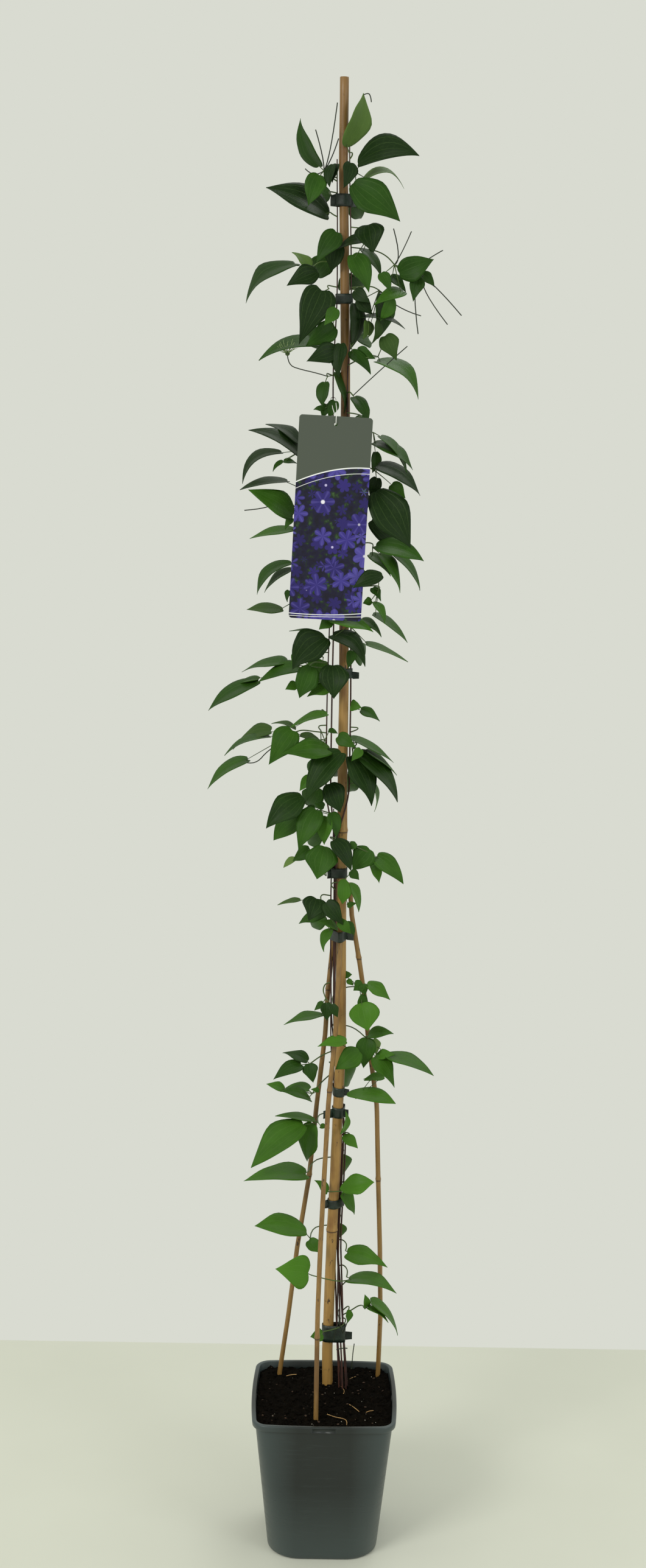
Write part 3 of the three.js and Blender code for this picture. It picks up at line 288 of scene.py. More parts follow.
def pot_point(angle, z, outset):
    """Where the pot's outline lies at an angle and a height, moved out by the outset."""
    rise = min(max(z / POT["height"], 0), 1)
    half = lerp(POT["base"], POT["mouth"], rise) / 2 + outset
    corner = lerp(POT["base_corner"], POT["mouth_corner"], rise) + outset
    straight = half - corner
    quarter = (angle + math.pi / 4) // (math.pi / 2)
    local = angle - quarter * math.pi / 2
    c, s = math.cos(local), math.sin(local)
    reach = half / c
    if abs(reach * s) <= straight:
        reach += POT["bulge"] * rise * (1 - (reach * s / straight) ** 2) / c
    else:
        middle = straight * (c + abs(s))
        reach = middle + math.sqrt(middle**2 - 2 * straight**2 + corner**2)
    return Vector((reach * math.cos(angle), reach * math.sin(angle), z))


def even_angle(angle):
    """Crowds the angles towards the corners, where the outline turns."""
    return angle + CROWDING * math.sin(4 * angle)


def pot_shell(bm, profile):
    """A closed shell of rings, each (z, outset), from the outside base round to the inside floor."""
    bmesh.ops.create_circle(bm, segments=POT_SEGMENTS, radius=1)
    edges = bottom = bm.edges[:]
    for row, (z, outset) in enumerate(profile):
        if row:
            edges = grow_ring(bm, edges)
        for vert in verts_of(edges):
            angle = math.atan2(vert.co.y, vert.co.x)
            vert.co = pot_point(angle if row else even_angle(angle), z, outset)
    close_ends(bm, (bottom, edges))


def cut(piece, cutters):
    """Cuts each cutter out of a piece and removes it."""
    for cutter in cutters:
        modifier = piece.modifiers.new("cut", "BOOLEAN")
        modifier.operation = "DIFFERENCE"
        modifier.object = cutter
        modifier.solver = "EXACT"
    depsgraph = bpy.context.evaluated_depsgraph_get()
    whole = bpy.data.meshes.new_from_object(piece.evaluated_get(depsgraph))
    piece.modifiers.clear()
    piece.data = whole
    for cutter in cutters:
        bpy.data.objects.remove(cutter)


def box_cutter(size, place):
    bm = bmesh.new()
    bmesh.ops.create_cube(bm, size=1, matrix=Matrix.Translation(place) @ Matrix.Diagonal((*size, 1)))
    return finish_mesh(bm, "cutter", [])


# %% Pot plastic
# Dark grey-green polypropylene, with a fine moulded grain, a soft sheen, a painted highlight on the rounded
# corners, a painted reflection of the pale floor that lightens it towards the base, and faint scuffs. The
# scuffs are stretched round the pot.
pot_plastic, tree, shader = start_material("dark_pot_plastic", 0.32, Specular_IOR_Level=0.5)
coords = object_coords(tree)
cloud = speckle(tree, coords, 9, 4)
scuff = speckle(tree, coords, 60, 5, 0.7, (0.3, 0.3, 4))
grain = speckle(tree, coords, 2600, 2, 0.6)
base = mixed(tree, cloud, "121918", "18201f")
split = add(tree, "SeparateXYZ", {0: coords})
wide, deep = sums(tree, "ABSOLUTE", split.outputs[0]), sums(tree, "ABSOLUTE", split.outputs[1])
# Painted highlight: the rounded corners are made paler, for light caught on their curve.
painted_corner_highlight = span(tree, sums(tree, "MINIMUM", wide, deep), 0.035, 0.085)
base = mixed(tree, painted_corner_highlight, base, "3c4748")
dusty = sums(tree, "MULTIPLY", span(tree, scuff, 0.55, 0.75), 0.35)
base = mixed(tree, dusty, base, "343e3e")
# Painted reflection: the lower sides are lightened towards the base, for the pale floor reflected in the
# plastic.
painted_floor_reflection = sums(tree, "MULTIPLY", span(tree, split.outputs[2], 0.11, 0.0), 0.55)
paint_base(tree, shader, mixed(tree, painted_floor_reflection, base, "4e5a59"))
tree.links.new(span(tree, scuff, 0.3, 0.8, 0.26, 0.42), shader.inputs["Roughness"])
relief(tree, shader, grain, 0.00012, 0.5)

# %% Make the pot
top, lip_z = POT["height"], POT["height"] - POT["lip_height"]
outside = [(0.6, -1.6), (0, -2.6)][::-1] + [(2, -0.4), (4, 0)] + [(z, 0) for z in range(14, 195, 12)]
lip = [
    (lip_z, 0), (lip_z, POT["lip"] - 1.2), (lip_z + 0.4, POT["lip"] - 0.4), (lip_z + 1.2, POT["lip"]),
    (top - 2.2, POT["lip"]), (top - 0.9, POT["lip"] - 0.4), (top - 0.2, POT["lip"] - 1.2),
    (top, POT["lip"] - 2.2), (top, -0.8), (top - 0.3, -1.6), (top - 1, -POT["wall"]),
]
inside = [(z, -POT["wall"]) for z in range(190, 4, -15)] + [(POT["floor"] + 1, -3), (POT["floor"], -4.4)]
bm = bmesh.new()
pot_shell(bm, outside + lip + inside)
pot = finish_mesh(bm, "square_pot", [pot_plastic])

cutters = [
    box_cutter((POT["mouth"] + 16, HANDLE_SLOT["width"], HANDLE_SLOT["height"]), (0, 0, HANDLE_SLOT["z"])),
    box_cutter(
        (RIM_TAB["width"], RIM_TAB["depth"] * 2, RIM_TAB["height"]),
        (0, -(POT["mouth"] / 2 + POT["bulge"] + POT["lip"]), top - POT["lip_height"] / 2),
    ),
]
bm = bmesh.new()
for hole in range(DRAIN["count"]):
    angle = (hole + 0.5) / DRAIN["count"] * 2 * math.pi
    place = (DRAIN["ring"] * math.cos(angle), DRAIN["ring"] * math.sin(angle), POT["floor"] / 2)
    bmesh.ops.create_cone(
        bm, cap_ends=True, segments=20, radius1=DRAIN["radius"], radius2=DRAIN["radius"],
        depth=POT["floor"] * 2, matrix=Matrix.Translation(place),
    )
cutters.append(finish_mesh(bm, "drains", []))
cut(pot, cutters)
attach(pot, "root")
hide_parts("pot")
print("pot:", len(pot.data.polygons), "faces")

# %% [markdown]
# ## The soil
# Potting soil is dark, crumbly peat with perlite, bits of bark and dry roots. A grid is pushed into
# the pot's outline, lifted by layers of noise, and its edge is extruded down to the pot's floor.
# Crumbs, perlite and bark chips are small low shapes sunk into that surface, so the surface has
# real relief and the grid can stay modest.

# %% Soil surface
SOIL_GRID = 120
SOIL_RINGS = [(100, 0), (POT["floor"] + CLEARANCE, 0.8)]
PERLITE, BARK, STRAW = 1, 2, 3
random.seed(5)


def soil_height(x, y):
    """Height of the soil at a place: slow swells, then crumbs, with a mound round the stems."""
    swell = 1.6 * math.sin(x * 0.19 + 0.7) * math.cos(y * 0.23) + 1.2 * math.sin(x * 0.41 + y * 0.37)
    lumps = noise.fractal(Vector((x, y, 3)) * 0.09, 0.6, 2.2, 4) * 3.2
    crumbs = abs(noise.noise(Vector((x, y, 9)) * 0.42)) * 2.6
    mound = 3.5 * math.exp(-((x - 18) ** 2 + (y - 22) ** 2) / 500)
    return SOIL_TOP + 0.5 * swell + lumps + crumbs + mound - 1.5


soil_material, tree, shader = start_material("potting_soil", 0.95, Specular_IOR_Level=0.05)
coords = object_coords(tree)
clods = speckle(tree, coords, 160, 6, 0.7)
dust = speckle(tree, coords, 900, 3, 0.6)
dark = ramp(tree, clods, [(0.3, "060503"), (0.55, "0e0b07"), (0.75, "1c150e")])
paint_base(tree, shader, mixed(tree, sums(tree, "MULTIPLY", span(tree, dust, 0.6, 0.8), 0.4), dark, "2c2118"))
relief(tree, shader, sums(tree, "ADD", clods, sums(tree, "MULTIPLY", dust, 0.4)), 0.0018, 1.0)

perlite = two_tone("perlite", 0.8, 900, "7f7a6e", "b3ada0")
bark = two_tone("bark_chips", 0.8, 300, "1e140b", "4a301a")
straw = two_tone("dry_roots", 0.7, 60, "7a4a22", "b99a62")

bm = bmesh.new()
bmesh.ops.create_grid(bm, x_segments=SOIL_GRID, y_segments=SOIL_GRID, size=1)
inset = -(POT["wall"] + CLEARANCE)
for vert in bm.verts:
    share = max(abs(vert.co.x), abs(vert.co.y))
    edge = pot_point(math.atan2(vert.co.y, vert.co.x), SOIL_TOP, inset)
    vert.co = (edge.x * share, edge.y * share, 0)
    vert.co.z = soil_height(vert.co.x, vert.co.y)
rim = [edge for edge in bm.edges if edge.is_boundary]
for z, further_in in SOIL_RINGS:
    rim = grow_ring(bm, rim)
    for vert in verts_of(rim):
        vert.co = pot_point(math.atan2(vert.co.y, vert.co.x), z, inset - further_in)
close_ends(bm, [rim])


# %% Crumbs, perlite and bark
SCATTER_AREA = {"reach": 84, "straight": 70, "corner": 13}


def scatter(bm, count, smallest, largest, flat, material_index):
    """Small rough stones sunk into the soil at seeded places."""
    for _ in range(count):
        reach, straight = SCATTER_AREA["reach"], SCATTER_AREA["straight"]
        x, y = random.uniform(-reach, reach), random.uniform(-reach, reach)
        if math.hypot(max(abs(x) - straight, 0), max(abs(y) - straight, 0)) > SCATTER_AREA["corner"]:
            continue
        size = random.uniform(smallest, largest)
        turn = Matrix.Rotation(random.uniform(0, FULL_TURN), 4, (random.random(), random.random(), 1))
        form = Matrix.Diagonal((size, size * random.uniform(0.6, 1), size * flat, 1))
        place = Matrix.Translation((x, y, soil_height(x, y) + size * 0.15))
        made = bmesh.ops.create_icosphere(bm, subdivisions=1, radius=1, matrix=place @ turn @ form)
        mark_faces(made["verts"], material_index)


scatter(bm, 700, 0.8, 2.6, 0.8, 0)
scatter(bm, 36, 0.4, 1.0, 0.8, PERLITE)
scatter(bm, 60, 1.0, 2.6, 0.35, BARK)


# %% Loose roots and straws
ROOTS = [
    [(4, -52), (14, -55), (24, -57), (31, -66), (30, -74)],
    [(-52, 62), (-46, 66), (-38, 64)],
    [(30, 48), (36, 58), (44, 66)],
    [(34, -18), (42, -28), (47, -36)],
    [(56, -40), (60, -36), (66, -39)],
    [(20, 30), (30, 20), (26, 6)],
]


def root_curve(path):
    """A thin bent root that lies on the soil."""
    data = bpy.data.curves.new("root", "CURVE")
    data.dimensions = "3D"
    data.bevel_depth = 0.55
    data.bevel_resolution = 1
    data.use_fill_caps = True
    spline = data.splines.new("NURBS")
    spline.points.add(len(path) - 1)
    for step, (target, (x, y)) in enumerate(zip(spline.points, path)):
        target.co = (x, y, soil_height(x, y) + 0.5 + 1.4 * (step % 2), 1)
    spline.use_endpoint_u = True
    spline.order_u = 3
    return data


def curves_to_bmesh(curves, bm):
    """Adds what the curves' bevel makes to a bmesh and removes the curves."""
    holder = bpy.data.objects.new("curve_holder", curves)
    bpy.context.scene.collection.objects.link(holder)
    depsgraph = bpy.context.evaluated_depsgraph_get()
    mesh = bpy.data.meshes.new_from_object(holder.evaluated_get(depsgraph))
    bm.from_mesh(mesh)
    bpy.data.objects.remove(holder)
    bpy.data.curves.remove(curves)
    bpy.data.meshes.remove(mesh)


first = len(bm.verts)
for path in ROOTS:
    curves_to_bmesh(root_curve(path), bm)
bm.verts.ensure_lookup_table()
mark_faces(bm.verts[first:], STRAW)
soil = finish_mesh(bm, "soil_and_crumbs", [soil_material, perlite, bark, straw])
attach(soil, "root")
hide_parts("soil")
print("soil:", len(soil.data.polygons), "faces")

# %% [markdown]
# ## Where things stand as seen from the front
# The plant is laid out from the eye point: a place is (x, z) on the upright plane through the
# tall cane, and how far it comes forward from that plane along the line of sight. So a leaf can
# be moved nearer or farther without leaving its place in the picture. Stems are laid out
# about the tall cane: a height, degrees round it from the front to the right, and a distance.

# %% Routes of canes and stems
PLANE_Y = 35


def seen(x, z, forward=0):
    return Vector((x, PLANE_Y, z)).lerp(EYE, forward / (PLANE_Y - EYE.y))


MAIN_CANE = [
    (4.5, 200, -3), (3.5, 250, -3), (5.6, 350, -3), (7.2, 423, -3), (9.9, 500, -3), (12.6, 600, -3),
    (15, 690, -3), (13, 800, -3), (12, 900, -3), (12, 974, -3), (10.8, 1050, -3), (10.9, 1150, -3),
    (9.5, 1250, -3), (6.5, 1540, -3), (2.6, 1700, -3), (-0.6, 1800, -3), (-1, 1908, -3),
]
THIN_CANES = {
    "cane_left": [
        (-60, 125, -30), (-61.5, 190, -35), (-61, 215, -35), (-50, 300, -33), (-39, 400, -29),
        (-24.5, 500, -25), (-16, 600, -21), (-6, 700, -17), (-3.5, 757, -15), (1.5, 815, -13.5),
        (4, 850, -12.5),
    ],
    "cane_front": [
        (-10.8, 60, 94), (-10.6, 130, 97), (-10.6, 200, 90), (-10.4, 300, 78), (-8, 400, 66),
        (-4.4, 500, 53), (-0.5, 600, 40), (2, 634, 35), (7, 690, 27), (9.5, 760, 18),
        (11.5, 830, 9.6),
    ],
    "cane_right": [
        (68, 125, -30), (72.6, 190, -35), (73, 215, -35), (74.7, 300, -34), (72, 400, -31),
        (67.7, 500, -27), (64, 600, -23), (50, 700, -19), (45, 750, -17), (37, 800, -15),
        (26, 862, -12.5), (22.8, 905, -11.5),
    ],
}
STEMS = {
    "stem_right": [
        (120, 62, 22), (190, 62, 22), (275, 100, 11.8), (400, 160, 9.6), (545, 160, 9.6),
        (715, 292, 9.6), (800, 306, 9.4), (965, 308, 9.2), (1040, 452, 9), (1180, 450, 8.8),
        (1400, 440, 8.6), (1500, 375, 8.4), (1560, 378, 8.4), (1600, 410, 8.4), (1680, 445, 8.2),
        (1760, 440, 8), (1832, 425, 8),
    ],
    "stem_left_top": [
        (120, 45, 29), (190, 45, 29), (275, 75, 16.8), (400, 130, 9.6), (545, 130, 9.6), (715, 262, 9.6),
        (800, 278, 9.4), (970, 276, 9.6), (1010, 280, 15.4), (1150, 280, 15.4), (1260, 278, 13),
        (1480, 280, 15.6), (1560, 280, 15.6), (1640, 284, 10), (1760, 286, 8.2), (1812, 286, 8),
    ],
    "stem_left_mid": [
        (120, 48, 22), (190, 48, 22), (275, 70, 12.4), (400, 100, 9.6), (545, 100, 9.6), (715, 232, 9.6),
        (800, 248, 9.4), (965, 246, 9.6), (1010, 268, 21), (1150, 270, 21.4), (1260, 262, 18),
        (1330, 262, 18),
    ],
    "stem_middle": [
        (120, 58, 30), (190, 58, 30), (275, 82, 20.4), (400, 117, 13.8), (545, 117, 13.8), (715, 247, 13.8),
        (800, 263, 13.6), (890, 262, 13.8), (940, 300, 13.8), (1004, 302, 13.4),
    ],
    "stem_low": [
        (120, 70, 29), (190, 70, 29), (275, 102, 21), (400, 145, 13.8), (545, 145, 13.8), (715, 277, 13.8),
        (800, 291, 13.4),
    ],
}


def along_rows(rows, z):
    """The row at a height: straight between the rows, and straight on past the ends."""
    top = next((i for i, row in enumerate(rows) if row[0] >= z), len(rows) - 1) or 1
    low, high = rows[top - 1], rows[top]
    share = (z - low[0]) / (high[0] - low[0])
    return [lerp(a, b, share) for a, b in zip(low, high)]


def cane_rows(route):
    return [(point.z, point.x, point.y) for point in (seen(*place) for place in route)]


def centre_at(rows, z):
    _, x, y = along_rows(rows, z)
    return Vector((x, y, z))


main_rows = cane_rows(MAIN_CANE)
thin_rows = {name: cane_rows(route) for name, route in THIN_CANES.items()}


def around_cane(z, turn, distance):
    centre = centre_at(main_rows, z)
    return centre + Vector((math.sin(turn) * distance, -math.cos(turn) * distance, 0))


def stem_at(name, z):
    _, turn, distance = along_rows(STEMS[name], z)
    return around_cane(z, math.radians(turn), distance)


print("tall cane from", main_rows[0], "to", main_rows[-1])

# %% [markdown]
# ## The canes
# Bamboo canes are slightly crooked rods that taper upwards, with a low ring and a groove at each
# joint. A circle is extruded from station to station; more stations stand close together at a
# joint. Small seeded changes of the radius keep the outline from looking drawn with a ruler.

# %% Cane material
# Pale tan with a fine grain along the cane, brown stains, a darker and redder top, dark lines
# below each joint, thin cracks along parts of it, and here and there a dark blemish.
def cane_material(name, pale, deep, stain, joints):
    material, tree, shader = start_material(name, 0.5, Coat_Weight=0.12, Coat_Roughness=0.35)
    coords = object_coords(tree)
    height = add(tree, "SeparateXYZ", {0: coords}).outputs[2]
    fibres = speckle(tree, coords, 900, 3, 0.6, (1, 1, 0.02))
    patches = speckle(tree, coords, 22, 4, 0.65, (1, 1, 0.35))
    spots = speckle(tree, coords, 120, 3, 0.6, (1, 1, 0.5))
    base = mixed(tree, fibres, deep, pale)
    base = mixed(tree, sums(tree, "MULTIPLY", span(tree, patches, 0.48, 0.62), 0.7), base, stain)
    base = mixed(tree, span(tree, spots, 0.64, 0.7), base, "3a2614")
    cracks = speckle(tree, coords, 260, 2, 0.5, (1, 1, 0.06))
    split_side = span(tree, speckle(tree, coords, 7, 2), 0.52, 0.6)
    cracked = sums(tree, "MULTIPLY", span(tree, cracks, 0.66, 0.7), split_side)
    base = mixed(tree, sums(tree, "MULTIPLY", cracked, 0.8), base, "2e170b")
    base = mixed(tree, span(tree, height, 1.1, 1.5, 0, 0.6), base, "5e3d17")
    for joint in joints:
        below = sums(tree, "ABSOLUTE", sums(tree, "SUBTRACT", height, (joint - 1.6) * MM))
        line = span(tree, below, 0.0016, 0.0004)
        base = mixed(tree, sums(tree, "MULTIPLY", line, 0.8), base, "3b2412")
    paint_base(tree, shader, base)
    tree.links.new(span(tree, patches, 0.3, 0.8, 0.42, 0.62), shader.inputs["Roughness"])
    relief(tree, shader, fibres, 0.0002, 0.6)
    return material


# %% Make the canes
CANE = {
    "foot_radius": 7.25, "top_radius": 5.4, "foot_z": 30, "top_z": 1908, "joint_swell": 0.9, "sides": 28,
}
THIN_CANE = {"radius": 3.2, "foot_z": 110, "joint_swell": 0.7, "sides": 20}
CANE_STEP, CANE_UNEVENNESS, CANE_EDGE = 11, 0.035, 0.6
JOINT_SHAPE = [(-9, 0), (-4, 0.12), (-2.2, 0.5), (-1.6, 0.15), (-1, 0.75), (0.4, 1.0), (2, 0.55), (5, 0.1)]


def main_radius(z):
    share = (z - SOIL_TOP) / (CANE["top_z"] - SOIL_TOP)
    return lerp(CANE["foot_radius"], CANE["top_radius"], min(max(share, 0), 1))


def thin_radius(z):
    return THIN_CANE["radius"]


def cane_stations(foot_z, top_z, joints, joint_swell):
    """Heights along a cane with how far it swells there, closer together at each joint."""
    clear = [foot_z + step * CANE_STEP for step in range(int((top_z - foot_z) / CANE_STEP))]
    clear += [top_z - CANE_EDGE, top_z]
    stations = [(z, 0) for z in clear if all(abs(z - joint) > 10 for joint in joints)]
    stations += [(joint + up, rise * joint_swell) for joint in joints for up, rise in JOINT_SHAPE]
    return sorted(stations)


def cane(name, rows, facts, radius_at, joints, material):
    """A crooked tapering rod with its joints, closed at both ends."""
    top_z = rows[-1][0]
    bm = bmesh.new()
    bmesh.ops.create_circle(bm, segments=facts["sides"], radius=1)
    edges = foot = bm.edges[:]
    angle_of = {vert: math.atan2(vert.co.y, vert.co.x) for vert in bm.verts}
    for row, (z, rise) in enumerate(cane_stations(facts["foot_z"], top_z, joints, facts["joint_swell"])):
        centre = centre_at(rows, z)
        if row:
            edges = grow_ring(bm, edges)
            angle_of = {vert: math.atan2(vert.co.y - last.y, vert.co.x - last.x) for vert in verts_of(edges)}
        edge_round = CANE_EDGE if z == top_z else 0
        for vert, angle in angle_of.items():
            spot = Vector((math.cos(angle), math.sin(angle), z * 0.02)) + centre * 0.01
            radius = (radius_at(z) + rise) * (1 + CANE_UNEVENNESS * noise.noise(spot)) - edge_round
            vert.co = centre + Vector((math.cos(angle), math.sin(angle), 0)) * radius
        last = centre
    close_ends(bm, (foot, edges))
    made = finish_mesh(bm, "bamboo_" + name, [material])
    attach(made, "root")
    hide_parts(name)
    return made


MAIN_JOINTS = [423, 974]
main_cane_wood = cane_material("tall_cane_bamboo", "b8924f", "7f5c2b", "70481c", MAIN_JOINTS)
tall_cane = cane("cane_main", main_rows, CANE, main_radius, MAIN_JOINTS, main_cane_wood)

THIN_JOINTS = {"cane_left": [492, 757], "cane_front": [307, 634], "cane_right": [293, 486, 800]}
for name, joints in THIN_JOINTS.items():
    wood = cane_material(name + "_bamboo", "a27d42", "64481f", "5c3d18", joints)
    thin = cane(name, thin_rows[name], THIN_CANE, thin_radius, joints, wood)
print("canes:", len(THIN_JOINTS) + 1)

# %% [markdown]
# ## The leafy stems
# Each leaf is a petiole that ends at a hub, with leaflets spread from it on short stalks. A
# leaflet is a thin oval blade with a notched base and a drawn-out tip. One small template, a
# grid with a thickness, is made once; it is copied for every leaflet and bent by one function,
# so that all leaflets share their faces but none its form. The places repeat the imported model's
# leaflets, with the shortest ones, which the model leaves out, added in the same way.

# %% The leaflets' places
# A tone from UNDERSIDE upwards is that of a leaflet that shows its underside.
UNDERSIDE = 2
DARK, MID, LIGHT, BRIGHT = 0.0, 0.4, 0.65, 1.0
DULL, PALE = UNDERSIDE + 0.2, UNDERSIDE + 0.8


def leaflet(x0, z0, x1, z1, width, forward, nearer, arch=0.1, bend=0.0, tone=MID, widest=None):
    """Base and tip as seen, width as seen, how far forward, and how much nearer the tip is."""
    return {
        "base": seen(x0, z0, forward), "tip": seen(x1, z1, forward + nearer), "ends": (x0, z0, x1, z1),
        "width": width, "arch": arch, "bend": bend, "tone": tone, "widest": widest,
    }


def leaf(start_z, hub, leaflets, hugs=False, stalks=()):
    """A petiole from a height on its stem to its hub, with its leaflets and cut stalks."""
    return {"start_z": start_z, "hub": seen(*hub), "leaflets": leaflets, "hugs": hugs, "stalks": stalks}


